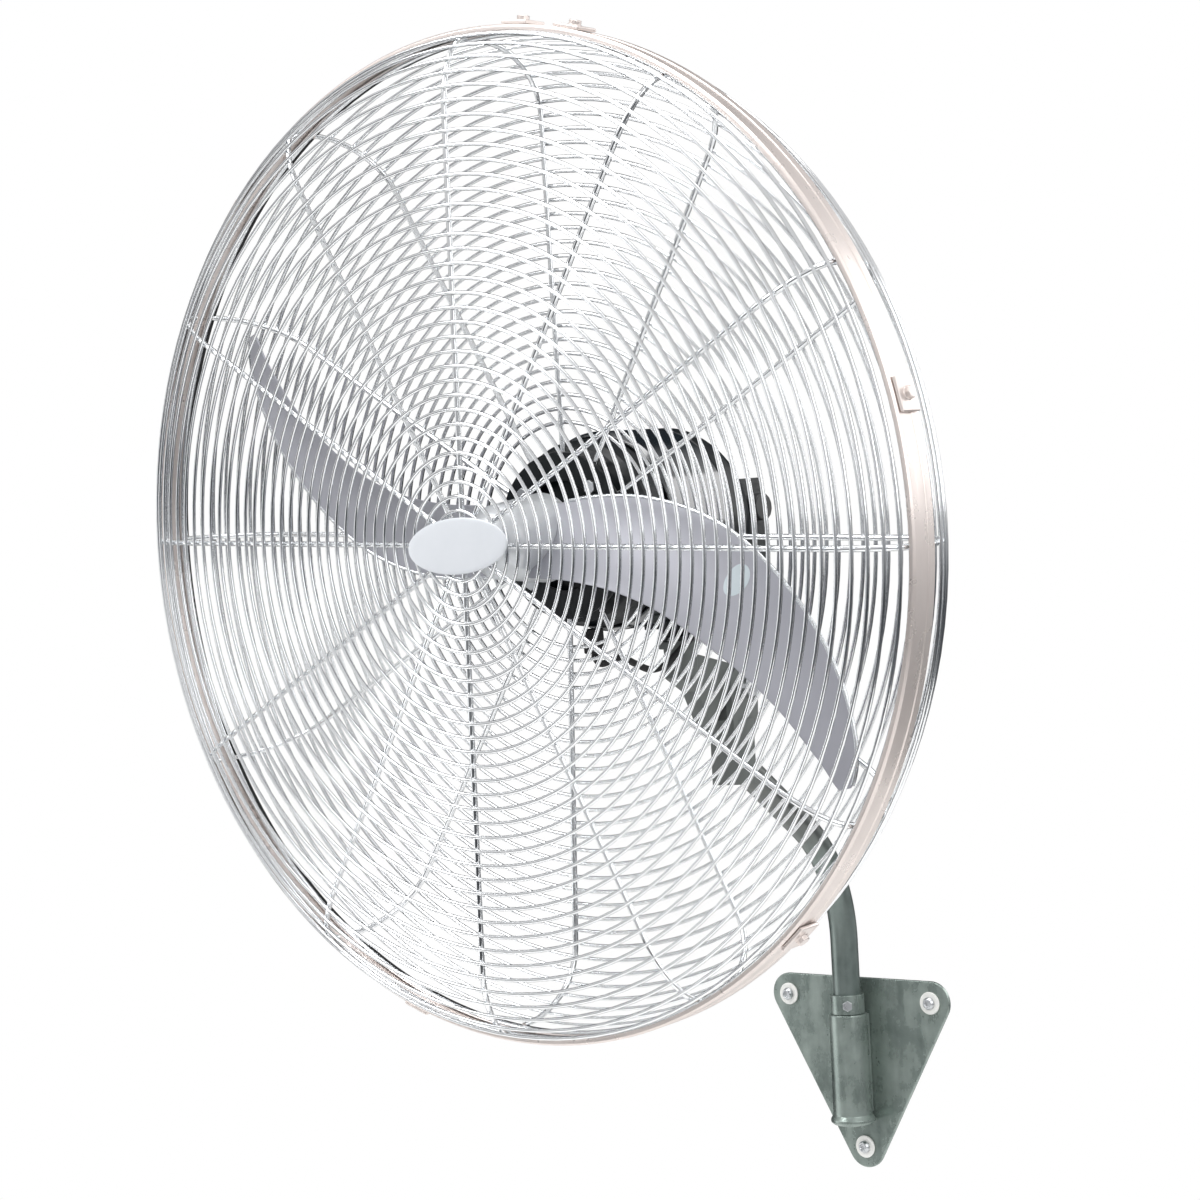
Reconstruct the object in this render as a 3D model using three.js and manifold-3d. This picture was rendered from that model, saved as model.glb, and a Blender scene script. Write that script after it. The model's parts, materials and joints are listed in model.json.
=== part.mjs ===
// Wall mounted fan with a wire cage, two swept blades and an oscillating head.
// Millimetres. +Z is up, +Y points into the wall and -Y into the room, and X = 0 is the
// plane of symmetry. The origin lies on the back face of the wall plate, at the middle
// of its height. The head is drawn in a frame of its own: y runs back along the motor
// shaft from the middle of the rim band, and z is up, square to the shaft.
import * as THREE from "three";
import { mergeVertices } from "three/addons/utils/BufferGeometryUtils.js";
import Module from "manifold-3d";

const wasm = await Module();
wasm.setup();

// ---------------------------------------------------------------- driving dimensions
const CLEAR = 0.3; // gap left between pieces that seat on each other
const RUN = 0.6; // gap round pieces that turn or slide past each other

// wall plate and the socket welded to it
const HOLE_SPAN = 162; // between the two upper holes
const HOLE_DROP = 141; // from the upper holes down to the lower one
const PLATE_CORNER = 20;
const PLATE_THICK = 4;
const HOLE_R = 4.5;
const WASHER_R = 10.5;
const WASHER_THICK = 2;
const BOLT_HEAD_R = 6;
const SOCKET_R = 18.5;
const SOCKET_TOP = 59;
const SOCKET_BOTTOM = -45;
const SOCKET_FOOT_R = 21; // rolled rim round the lower end
const SOCKET_FOOT_HEIGHT = 7;
const WELD_HALF = 9; // half the width of the weld between socket and plate

// bent arm
const ARM_R = 13;
const ARM_WALL = 2.5;
const ARM_BEND_R = 140;
const ARM_RISE = (54.5 * Math.PI) / 180; // how far the upper leg leans from the vertical
const ARM_CORNER_Z = 200; // height at which the two straight legs would cross
const COLLAR_R = 16.5;
const COLLAR_LENGTH = 18;
const COLLAR_SCREW_TURN = (35 * Math.PI) / 180; // from straight ahead towards +X
const SCREW_R = 3; // small screws of the collar and of the clamp ring
const SCREW_HEAD = 4; // how far any screw head stands up

// tilt pivot between arm and neck
const TILT_Y = -180;
const TILT_Z = 376;
const HEAD_TILT = (4.3 * Math.PI) / 180; // the head looks slightly down
const EAR_R = 20;
const EAR_THICK = 7;
const TONGUE_THICK = 18;
const CLEVIS_BLOCK_DROP = 88; // underside of the clevis block below the tilt pivot
const SLOT_DROP = 30; // floor of the slot between the ears
const TILT_BOLT_R = 6;
const TILT_HEAD_R = 10;
const NUT_LENGTH = 9;
const WING_R = 18;

// neck and swing pivot, measured from the tilt pivot
const AXIS_HEIGHT = 150; // motor shaft above the tilt pivot
const CAGE_AHEAD = 288; // rim band ahead of the tilt pivot
const SWING_BACK = 222; // swing pivot behind the rim band
const POST_R = 14.5;
const FLANGE_R = 18.5;
const FOOT_R = 14; // foot of the motor, which stands on the flange
const SWING_PIN_R = 8;
const PIN_REACH = 12; // how far the swing pin goes into the foot
const BOSS_DROP = 98; // underside of the motor's foot below the shaft
const LINK_THICK = 2.7;
const LINK_EYE_R = 5.5;
const LINK_PIN_R = 3;

// cage
const RIM_R = 406;
const RIM_HALF = 14; // half the width of the rim band
const RIM_SHEET = 2;
const RIM_LIP = 2.8;
const RIB_COUNT = 12;
const CAGE_TURN = (4.4 * Math.PI) / 180; // ribs stand a little clockwise, seen from the room
const RIM_SIDES = 48; // a multiple of the ribs, shared by every ring at the rim
const RIB_R = 2.3;
const WIRE_R = 1.6;
const WIRE_PITCH = 11.4;
const WIRE_SAG = 3; // how far a straight step of the wire may cut inside its curve
const EDGE_WIRE_R = 2.5;
const RIB_BITE = 2.9; // ribs end this far inside the middle of the edge wire
const FRONT_DEPTH = 37.4;
const FRONT_BEND = 58.3; // breadth of the rounded edge of the front guard
const FRONT_DISC_R = 22;
const FRONT_EYE_R = 28; // innermost turn of the front wire
const REAR_DEPTH = 77;
const REAR_CENTRE_DEPTH = 87;
const REAR_BEND = 55.3;
const REAR_EYE_R = 94; // innermost turn of the rear wire, clear of the motor
const REAR_RING_R = 64; // ring that clamps the rear ribs to the motor
const BADGE_HALF = [54.5, 22.5];
const BADGE_THICK = 3;
const BADGE_STEM_R = 14;
const CLIP_HALF = [11, 13]; // half the clip's size along the shaft and round the rim
const CLIP_THICK = 3;
const CLAMP_RING = [46, 70]; // inner and outer radius
const CLAMP_THICK = 3;
const CLAMP_SCREW_CIRCLE = 53;

// motor, from the rim band backwards
const SHAFT_R = 8;
const TAIL_R = 6; // thinner rear end of the shaft, which carries the worm
const BELL_FRONT = 90;
const BELL_R = 78;
const HOUSING_FRONT = 128;
const HOUSING_BACK = 205;
const HOUSING_R = 85;
const MOTOR_WALL = 6;
const BELL_BACK = 238;
const MOTOR_SIDES = 24;
const BEARING_R = 17.5;
const BEARING_WIDTH = 12;
const SEAT_WALL = 7; // wall round a bearing
const CORE_FRONT = 140;
const CORE_BACK = 190;
const CORE_BORE_R = 48.6;
const WINDING_R = 70;
const WINDING_LENGTH = 20;
const WINDING_THICK = 18;

// gear case behind the motor
const CASE_LEFT = -52;
const CASE_RIGHT = 58;
const CASE_BOTTOM = -92;
const CASE_TOP = 34;
const CASE_WALL = 4;
const CASE_BACK = 286;
const COVER_THICK = 3;
const WORM_R = 10;
const WORM_FRONT = 250;
const WORM_BACK = 274;
const GEAR_X = -28; // upright axle of the worm wheel, beside the shaft
const GEAR_TEETH = 18;
const GEAR_THICK = 8;
const AXLE_R = 4;
const CRANK_THROW = 12;
const CRANK_DISC_R = 17;
const ANCHOR_X = -17; // fixed end of the link, beside the swing pin
const CRANK_BACK = 40; // axle of the crank behind the swing pin
const KNOB_R = 12;
const KNOB_LENGTH = 13;
const KNOB_TRAVEL = 5;
const KNOB_Z = 8;
const CAPACITOR_R = 15;
const CAPACITOR_LENGTH = 62.7;
const FRONT_GLAND_R = 9;
const REAR_GLAND_R = 7;
const REAR_GLAND_LENGTH = 7;
const LEAD_R = 3;

// rotor
const HUB_NOSE = -14;
const HUB_BACK = 60;
const HUB_FRONT_R = 31;
const HUB_BACK_R = 37;
const BLADE_MID = 28.5; // middle of the blades behind the rim band
const BLADE_THICK = 3;
const BLADE_COUNT = 2;
const BLADE_R = 361.7; // reach of the tip
const BLADE_ROOT_WIDTH = 56;
const BLADE_MAX_WIDTH = 75;
const BLADE_TIP_WIDTH = 9;
const BLADE_WIDEST_AT = 0.44; // share of the blade's length
const BLADE_ROOT_PITCH = 32;
const BLADE_TIP_PITCH = 14;

// worked out from the above
const PLATE_FACE = -PLATE_THICK;
const SOCKET_Y = PLATE_FACE - CLEAR - SOCKET_R;
const RING_LEVEL = RIM_HALF - RIM_SHEET - CLEAR - EDGE_WIRE_R;
const EDGE_RING_R = RIM_R - RIM_SHEET - CLEAR - EDGE_WIRE_R;
const RIB_END_R = EDGE_RING_R - RIB_BITE;
const FRONT_KNEE_R = RIB_END_R - FRONT_BEND;
const REAR_KNEE_R = RIB_END_R - REAR_BEND;
const WIRE_OFFSET = RIB_R + WIRE_R + CLEAR;
const TAU = 2 * Math.PI;

// ---------------------------------------------------------------- colours and finishes
const finish = (color, roughness, metalness) => {
  return new THREE.MeshStandardMaterial({ color, roughness, metalness });
};
const chromeWire = finish(0xdadcde, 0.2, 1);
const bandSteel = finish(0xc4c6c8, 0.25, 1);
const bladeAlloy = finish(0x9a98a0, 0.42, 0.85);
const hubAlloy = finish(0xc9ced2, 0.28, 0.9);
const motorBlack = finish(0x16181b, 0.35, 0.2);
const neckGrey = finish(0x6b6f6d, 0.55, 0.3);
const plateGrey = finish(0x7f8f8a, 0.5, 0.5);
const zincBright = finish(0xd8dadb, 0.3, 0.9);
const nylonWhite = finish(0xf0f0ee, 0.6, 0);
const badgeGrey = finish(0xdfe1e3, 0.35, 0.1);
const plainSteel = finish(0x9b9ea1, 0.35, 0.9);
const copperWire = finish(0xa85f33, 0.4, 0.8);
const coreSteel = finish(0x5d6165, 0.5, 0.8);
const brass = finish(0xb48a43, 0.35, 0.9);
const blackRubber = finish(0x1b1b1c, 0.8, 0);

// ---------------------------------------------------------------- shared operations
const group = new THREE.Group();

function add(parent, name, geometry, material) {
  const mesh = new THREE.Mesh(geometry, material);
  mesh.name = name;
  parent.add(mesh);
  return mesh;
}

// Turns a closed geometry into a solid that can be joined and cut.
function solid(geometry) {
  const bare = geometry.index ? geometry.toNonIndexed() : geometry.clone();
  for (const attribute of Object.keys(bare.attributes)) {
    if (attribute !== "position") bare.deleteAttribute(attribute);
  }
  const merged = mergeVertices(bare, 1e-4);
  return new wasm.Manifold(new wasm.Mesh({
    numProp: 3,
    vertProperties: Float32Array.from(merged.attributes.position.array),
    triVerts: Uint32Array.from(merged.index.array),
  }));
}

function toGeometry(body) {
  const mesh = body.getMesh();
  const geometry = new THREE.BufferGeometry();
  geometry.setAttribute("position", new THREE.BufferAttribute(mesh.vertProperties, 3));
  geometry.setIndex(new THREE.BufferAttribute(mesh.triVerts, 1));
  return geometry;
}

function join(geometries) {
  return geometries.map(solid).reduce((sum, next) => sum.add(next));
}

function cut(body, tools) {
  return tools.map(solid).reduce((left, tool) => left.subtract(tool), body);
}

// A solid of revolution about y from [radius, y] pairs; a profile that leaves the axis closes itself.
function turned(profile, segments) {
  const points = profile.map(([r, y]) => new THREE.Vector2(r, y));
  const onAxis = profile[0][0] === 0;
  if (!onAxis) points.push(points[0].clone());
  const geometry = new THREE.LatheGeometry(points, segments);
  return signedVolume(geometry) < 0 ? flipped(geometry) : geometry;
}

function signedVolume(geometry) {
  const position = geometry.attributes.position;
  const index = geometry.index;
  const corner = [new THREE.Vector3(), new THREE.Vector3(), new THREE.Vector3()];
  let volume = 0;
  for (let i = 0; i < index.count; i += 3) {
    corner.forEach((c, k) => c.fromBufferAttribute(position, index.getX(i + k)));
    volume += corner[0].dot(corner[1].cross(corner[2])) / 6;
  }
  return volume;
}

function flipped(geometry) {
  const index = geometry.index;
  for (let i = 0; i < index.count; i += 3) {
    const first = index.getX(i);
    index.setX(i, index.getX(i + 2));
    index.setX(i + 2, first);
  }
  return geometry;
}

function ring(inner, outer, from, to, segments) {
  return turned([[inner, from], [outer, from], [outer, to], [inner, to]], segments);
}

// A cylinder along one axis between two positions on it, moved sideways by the other two values.
function rod(axis, radius, from, to, at, segments) {
  const geometry = new THREE.CylinderGeometry(radius, radius, to - from, segments);
  const middle = (from + to) / 2;
  if (axis === "x") return geometry.rotateZ(-Math.PI / 2).translate(middle, at[0], at[1]);
  if (axis === "y") return geometry.translate(at[0], middle, at[1]);
  return geometry.rotateX(Math.PI / 2).translate(at[0], at[1], middle);
}

function box(from, to) {
  const size = to.map((value, i) => value - from[i]);
  const middle = to.map((value, i) => (value + from[i]) / 2);
  return new THREE.BoxGeometry(...size).translate(...middle);
}

// A path whose stations are exactly the given points.
class Stations extends THREE.Curve {
  constructor(points) {
    super();
    this.points = points;
  }

  getPoint(t, target = new THREE.Vector3()) {
    const place = t * (this.points.length - 1);
    const index = Math.min(Math.floor(place + 1e-9), this.points.length - 2);
    return target.lerpVectors(this.points[index], this.points[index + 1], place - index);
  }

  getPointAt(u, target) {
    return this.getPoint(u, target);
  }

  getTangentAt(u, target = new THREE.Vector3()) {
    const index = Math.round(u * (this.points.length - 1));
    const before = this.points[Math.max(index - 1, 0)];
    const after = this.points[Math.min(index + 1, this.points.length - 1)];
    return target.subVectors(after, before).normalize();
  }
}

function polygon(radius, sides, turn = 0) {
  const shape = new THREE.Shape();
  for (let i = 0; i < sides; i += 1) {
    const angle = turn + (TAU * i) / sides;
    const move = i === 0 ? "moveTo" : "lineTo";
    shape[move](radius * Math.cos(angle), radius * Math.sin(angle));
  }
  shape.closePath();
  return shape;
}

// Wire of a few-sided section along points, closed at both ends.
function wire(points, radius, sides, turn = 0) {
  return new THREE.ExtrudeGeometry(polygon(radius, sides, turn), {
    steps: points.length - 1,
    extrudePath: new Stations(points),
    bevelEnabled: false,
  });
}

// A flat outline given in (y, z) and thickened along x, centred on x = 0.
function sidePlate(shape, thickness, x = 0, curveSegments = 6) {
  const geometry = new THREE.ExtrudeGeometry(shape, {
    depth: thickness,
    bevelEnabled: false,
    curveSegments,
  });
  const toSide = new THREE.Matrix4().makeBasis(
    new THREE.Vector3(0, 1, 0),
    new THREE.Vector3(0, 0, 1),
    new THREE.Vector3(1, 0, 0),
  );
  return geometry.applyMatrix4(toSide).translate(x - thickness / 2, 0, 0);
}

// A hexagon-headed bolt along y, head towards -y.
function hexBolt(shankR, headR, headThick, length) {
  return turned([
    [0, -headThick],
    [headR, -headThick],
    [headR, 0],
    [shankR, 0],
    [shankR, length],
    [0, length],
  ], 6);
}

// ---------------------------------------------------------------- wall plate
const bracket = new THREE.Group();
group.add(bracket);

const holes = [
  [-HOLE_SPAN / 2, HOLE_DROP / 2],
  [HOLE_SPAN / 2, HOLE_DROP / 2],
  [0, -HOLE_DROP / 2],
];

// The plate is a triangle with a round corner about each hole.
function plateOutline() {
  const shape = new THREE.Shape();
  const order = [holes[2], holes[1], holes[0]];
  const arcSteps = 5;
  order.forEach(([x, z], i) => {
    const [fromX, fromZ] = order[(i + 2) % 3];
    const [toX, toZ] = order[(i + 1) % 3];
    const start = Math.atan2(z - fromZ, x - fromX) - Math.PI / 2;
    let sweep = Math.atan2(toZ - z, toX - x) - Math.PI / 2 - start;
    if (sweep < 0) sweep += TAU;
    for (let k = 0; k <= arcSteps; k += 1) {
      const angle = start + (sweep * k) / arcSteps;
      const px = x + PLATE_CORNER * Math.cos(angle);
      const pz = z + PLATE_CORNER * Math.sin(angle);
      if (i === 0 && k === 0) shape.moveTo(px, pz);
      else shape.lineTo(px, pz);
    }
  });
  for (const [x, z] of holes) {
    const hole = new THREE.Path();
    hole.absarc(x, z, HOLE_R, 0, TAU, true);
    shape.holes.push(hole);
  }
  return shape;
}

const plate = new THREE.ExtrudeGeometry(plateOutline(), {
  depth: PLATE_THICK,
  bevelEnabled: false,
  curveSegments: 6,
});
add(bracket, "wall_plate", plate.rotateX(Math.PI / 2), plateGrey);

holes.forEach(([x, z], i) => {
  const washerFace = PLATE_FACE - CLEAR - WASHER_THICK;
  const washer = ring(HOLE_R, WASHER_R, washerFace, PLATE_FACE - CLEAR, 16);
  add(bracket, `wall_washer_${i + 1}`, washer, nylonWhite).position.set(x, 0, z);
  const headFace = washerFace - CLEAR;
  const bolt = hexBolt(HOLE_R - CLEAR, BOLT_HEAD_R, SCREW_HEAD, -headFace - CLEAR);
  add(bracket, `wall_bolt_${i + 1}`, bolt, zincBright).position.set(x, headFace, z);
});

// The socket is a tube with a rolled lower rim, flattened where it is welded to the plate.
const SOCKET_BORE_R = ARM_R + CLEAR;
const footTop = SOCKET_BOTTOM + SOCKET_FOOT_HEIGHT;
const socketTube = turned([
  [0, SOCKET_BOTTOM],
  [SOCKET_FOOT_R - 1.5, SOCKET_BOTTOM],
  [SOCKET_FOOT_R, SOCKET_BOTTOM + 1.5],
  [SOCKET_FOOT_R, footTop - 2],
  [SOCKET_R, footTop],
  [SOCKET_R, SOCKET_TOP],
  [0, SOCKET_TOP],
], 24).rotateX(Math.PI / 2).translate(0, SOCKET_Y, 0);
const socketBody = join([
  socketTube,
  box([-WELD_HALF, SOCKET_Y, footTop], [WELD_HALF, PLATE_FACE - CLEAR, SOCKET_TOP - 2]),
]);
const wallSide = PLATE_FACE - CLEAR;
const socketCuts = [
  rod("z", SOCKET_BORE_R, SOCKET_BOTTOM - 1, SOCKET_TOP + 1, [0, SOCKET_Y], 16),
  box([-SOCKET_FOOT_R, wallSide, SOCKET_BOTTOM - 1], [SOCKET_FOOT_R, wallSide + SOCKET_FOOT_R, SOCKET_TOP]),
];
add(bracket, "arm_socket", toGeometry(cut(socketBody, socketCuts)), plateGrey);

// ---------------------------------------------------------------- arm
const arm = new THREE.Group();
arm.position.set(0, SOCKET_Y, 0);
group.add(arm);

// Arm positions are measured from the socket's axis.
const CLEVIS_Y = TILT_Y - SOCKET_Y;
const CLEVIS_LOW = TILT_Z - CLEVIS_BLOCK_DROP;
const SLOT_LOW = TILT_Z - SLOT_DROP;

function armPath() {
  const points = [new THREE.Vector3(0, 0, SOCKET_BOTTOM + 5)];
  const tangent = ARM_BEND_R * Math.tan(ARM_RISE / 2);
  const bendZ = ARM_CORNER_Z - tangent;
  const bendSteps = 7;
  for (let i = 0; i <= bendSteps; i += 1) {
    const angle = (ARM_RISE * i) / bendSteps;
    const y = -ARM_BEND_R * (1 - Math.cos(angle));
    points.push(new THREE.Vector3(0, y, bendZ + ARM_BEND_R * Math.sin(angle)));
  }
  const last = points[points.length - 1];
  const reach = (last.y - CLEVIS_Y) / Math.sin(ARM_RISE);
  const end = last.clone();
  end.y -= reach * Math.sin(ARM_RISE);
  end.z += reach * Math.cos(ARM_RISE);
  points.push(end);
  return points;
}

const armLine = armPath();
const armHollow = armLine.map((point) => point.clone());
armHollow[0].z -= 1;
const armTube = solid(wire(armLine, ARM_R, 14))
  .subtract(solid(wire(armHollow, ARM_R - ARM_WALL, 10)));
const clevisSeat = rod("z", EAR_R + CLEAR, CLEVIS_LOW - 20, TILT_Z, [0, CLEVIS_Y], 24);
add(arm, "arm_tube", toGeometry(cut(armTube, [clevisSeat])), plateGrey);

// The collar carries the arm on the socket's rim; its screw reaches in through a hole.
const collarFrom = SOCKET_TOP + CLEAR;
const screwLevel = collarFrom + COLLAR_LENGTH / 2;
const collar = ring(ARM_R + CLEAR, COLLAR_R, collarFrom, collarFrom + COLLAR_LENGTH, 18);
const screwHole = rod("y", SCREW_R + CLEAR, -COLLAR_R - 1, -ARM_R, [0, screwLevel], 8);
const collarSolid = cut(solid(collar.rotateX(Math.PI / 2)), [screwHole]);
const collarMesh = add(arm, "arm_collar", toGeometry(collarSolid), plateGrey);
collarMesh.rotation.z = COLLAR_SCREW_TURN;
const collarScrew = hexBolt(SCREW_R, SCREW_R + 2, SCREW_HEAD, COLLAR_R - ARM_R);
const screwMesh = add(arm, "collar_screw", collarScrew, zincBright);
screwMesh.geometry.translate(0, -COLLAR_R - CLEAR, screwLevel);
screwMesh.rotation.z = COLLAR_SCREW_TURN;

// The clevis stands on a round block at the end of the tube and holds the neck between two ears.
function earOutline() {
  const shape = new THREE.Shape();
  shape.moveTo(CLEVIS_Y - EAR_R + 2, SLOT_LOW - 10);
  shape.lineTo(CLEVIS_Y + EAR_R - 2, SLOT_LOW - 10);
  shape.absarc(CLEVIS_Y, TILT_Z, EAR_R, 0, Math.PI, false);
  shape.closePath();
  return shape;
}
const earX = TONGUE_THICK / 2 + CLEAR + EAR_THICK / 2;
const clevisBody = join([
  rod("z", EAR_R, CLEVIS_LOW, SLOT_LOW, [0, CLEVIS_Y], 24),
  sidePlate(earOutline(), EAR_THICK, earX, 10),
  sidePlate(earOutline(), EAR_THICK, -earX, 10),
]);
const tiltBore = rod("x", TILT_BOLT_R + CLEAR, -40, 40, [CLEVIS_Y, TILT_Z], 12);
add(arm, "arm_clevis", toGeometry(cut(clevisBody, [tiltBore])), neckGrey);

const earFace = earX + EAR_THICK / 2 + CLEAR;
const tiltBoltLength = 2 * earFace + NUT_LENGTH + 3;
const tiltBolt = hexBolt(TILT_BOLT_R, TILT_HEAD_R, 6, tiltBoltLength).rotateZ(-Math.PI / 2);
add(arm, "tilt_bolt", tiltBolt.translate(-earFace, CLEVIS_Y, TILT_Z), zincBright);

// The wing nut turns on the end of the tilt bolt.
const nutFrom = earFace;
const wingShape = new THREE.Shape();
wingShape.moveTo(TILT_BOLT_R + 1, nutFrom + 1);
wingShape.lineTo(WING_R - 1, nutFrom + NUT_LENGTH / 2);
wingShape.lineTo(WING_R, nutFrom + NUT_LENGTH + 1);
wingShape.lineTo(WING_R - 6, nutFrom + NUT_LENGTH + 1);
wingShape.lineTo(TILT_BOLT_R + 1, nutFrom + NUT_LENGTH - 2);
wingShape.closePath();
const nutRing = ring(TILT_BOLT_R + CLEAR, TILT_HEAD_R, nutFrom, nutFrom + NUT_LENGTH, 12);
const nutWings = [0, Math.PI].map((turn) => {
  const wing = new THREE.ExtrudeGeometry(wingShape, { depth: 4, bevelEnabled: false });
  return wing.translate(0, 0, -2).rotateY(turn);
});
const nutSolid = cut(join([nutRing, ...nutWings]), [
  rod("y", TILT_BOLT_R + CLEAR, nutFrom - 1, nutFrom + NUT_LENGTH + 1, [0, 0], 12),
]);
const nut = add(arm, "wing_nut", toGeometry(nutSolid).rotateZ(-Math.PI / 2), zincBright);
nut.position.set(0, CLEVIS_Y, TILT_Z);

// ---------------------------------------------------------------- neck
const neck = new THREE.Group();
neck.position.set(0, TILT_Y, TILT_Z);
neck.rotation.x = HEAD_TILT;
group.add(neck);

const SWING_Y = SWING_BACK - CAGE_AHEAD;
const FOOT_Z = AXIS_HEIGHT - BOSS_DROP; // underside of the motor's foot
const LINK_TOP = FOOT_Z - RUN;
const NECK_TOP = LINK_TOP - LINK_THICK - RUN;
const POST_LOW = 16;

// Seen from the side the neck hangs from the post, reaches down in front of the clevis
// and back to the pivot; its lower corner clears the clevis block all the way round the tilt.
function tongueOutline() {
  const shape = new THREE.Shape();
  shape.moveTo(SWING_Y + POST_R - 1, SLOT_DROP + 4);
  shape.lineTo(SWING_Y - POST_R + 1, SLOT_DROP);
  shape.lineTo(SWING_Y - POST_R + 1, POST_LOW);
  shape.lineTo(SWING_Y + 8, 2);
  shape.lineTo(-2.3 * EAR_R, -1.2 * EAR_R);
  shape.lineTo(-1.95 * EAR_R, -1.65 * EAR_R);
  shape.lineTo(-1.4 * EAR_R, -0.5 * EAR_R);
  shape.absarc(0, 0, EAR_R - 1, (210 * Math.PI) / 180, (60 * Math.PI) / 180 + TAU, false);
  shape.closePath();
  return shape;
}
const flangeThick = 6;
const neckBody = join([
  sidePlate(tongueOutline(), TONGUE_THICK, 0, 12),
  rod("z", POST_R, POST_LOW, NECK_TOP, [0, SWING_Y], 20),
  rod("z", FLANGE_R, NECK_TOP - flangeThick, NECK_TOP, [0, SWING_Y], 20),
  rod("z", SWING_PIN_R, NECK_TOP - flangeThick / 2, FOOT_Z + PIN_REACH, [0, SWING_Y], 16),
  rod("z", LINK_PIN_R, NECK_TOP - flangeThick / 2, LINK_TOP - RUN, [ANCHOR_X, SWING_Y], 8),
]);
const neckBore = rod("x", TILT_BOLT_R + CLEAR, -40, 40, [0, 0], 12);
add(neck, "neck", toGeometry(cut(neckBody, [neckBore])), neckGrey);

// ---------------------------------------------------------------- link of the swing drive
const CRANK_PIN_X = GEAR_X + CRANK_THROW;
const linkLine = new THREE.Vector2(CRANK_PIN_X - ANCHOR_X, CRANK_BACK);
const linkAngle = linkLine.angle();
const linkShape = new THREE.Shape();
linkShape.absarc(0, 0, LINK_EYE_R, Math.PI / 2, 1.5 * Math.PI, false);
linkShape.absarc(linkLine.length(), 0, LINK_EYE_R, -Math.PI / 2, Math.PI / 2, false);
const linkHoles = [0, linkLine.length()].map((x) => {
  const hole = new THREE.Path();
  hole.absarc(x, 0, LINK_PIN_R + CLEAR, 0, TAU, true);
  return hole;
});
linkShape.holes.push(...linkHoles);
const link = new THREE.ExtrudeGeometry(linkShape, {
  depth: LINK_THICK,
  bevelEnabled: false,
  curveSegments: 4,
});
link.rotateZ(linkAngle).translate(ANCHOR_X, SWING_Y, LINK_TOP - LINK_THICK);
add(neck, "swing_link", link, plainSteel);

// ---------------------------------------------------------------- head
const head = new THREE.Group();
head.position.set(0, -CAGE_AHEAD, AXIS_HEIGHT);
neck.add(head);

const cage = new THREE.Group();
cage.rotation.y = CAGE_TURN;
head.add(cage);

// Outline of a guard from its middle to the rim: [radius, height above the rim plane].
function guardOutline(eyeR, eyeDepth, kneeR, kneeDepth, offset, stopAngle) {
  const outline = new THREE.Path();
  outline.moveTo(eyeR, eyeDepth + offset);
  outline.lineTo(kneeR, kneeDepth + offset);
  const across = RIB_END_R - kneeR + offset;
  const down = kneeDepth - RING_LEVEL + offset;
  outline.absellipse(kneeR, RING_LEVEL, across, down, Math.PI / 2, stopAngle, true);
  return outline;
}

// A wire that winds outwards by one pitch per turn. On the flat its steps follow the
// radius; round the edge there is a station on every rib, so that it clears them.
function spiral(outline, kneeR, side) {
  const length = outline.getLength();
  const rimStep = TAU / (2 * RIB_COUNT);
  const points = [];
  let angle = 0;
  while ((WIRE_PITCH * angle) / TAU < length) {
    const place = outline.getPointAt((WIRE_PITCH * angle) / TAU / length);
    points.push(new THREE.Vector3(
      place.x * Math.cos(angle),
      side * place.y,
      place.x * Math.sin(angle),
    ));
    if (place.x < kneeR - WIRE_PITCH) angle += 2 * Math.acos(1 - WIRE_SAG / place.x);
    else angle = (Math.floor(angle / rimStep + 1e-6) + 1) * rimStep;
  }
  return wire(points, WIRE_R, 3);
}

// The ribs of one guard, welded to a ring at the rim and a ring or disc in the middle.
function ribFrame(outline, side, middle) {
  const bendSteps = 4;
  const stations = [outline.getPoint(0), outline.curves[0].v2];
  const bend = outline.curves[1];
  for (let i = 1; i <= bendSteps; i += 1) stations.push(bend.getPoint(i / bendSteps));
  const edge = new THREE.TorusGeometry(EDGE_RING_R, EDGE_WIRE_R, 3, RIM_SIDES);
  const pieces = [edge.rotateX(Math.PI / 2).translate(0, side * RING_LEVEL, 0), middle];
  for (let i = 0; i < RIB_COUNT; i += 1) {
    const angle = (TAU * i) / RIB_COUNT;
    const line = stations.map(({ x, y }) => {
      return new THREE.Vector3(x * Math.cos(angle), side * y, x * Math.sin(angle));
    });
    pieces.push(wire(line, RIB_R, 4));
  }
  return toGeometry(join(pieces));
}

const frontRibLine = guardOutline(FRONT_DISC_R - 10, FRONT_DEPTH, FRONT_KNEE_R, FRONT_DEPTH, 0, 0);
const frontMiddle = rod("y", FRONT_DISC_R, -FRONT_DEPTH - RIB_R, -FRONT_DEPTH + RIB_R, [0, 0], 20);
add(cage, "front_guard_ribs", ribFrame(frontRibLine, -1, frontMiddle), chromeWire);
const WIRE_STOP = (15 * Math.PI) / 180;
const frontWireLine = guardOutline(
  FRONT_EYE_R, FRONT_DEPTH, FRONT_KNEE_R, FRONT_DEPTH, WIRE_OFFSET, WIRE_STOP,
);
add(cage, "front_guard_wire", spiral(frontWireLine, FRONT_KNEE_R, -1), chromeWire);

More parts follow.
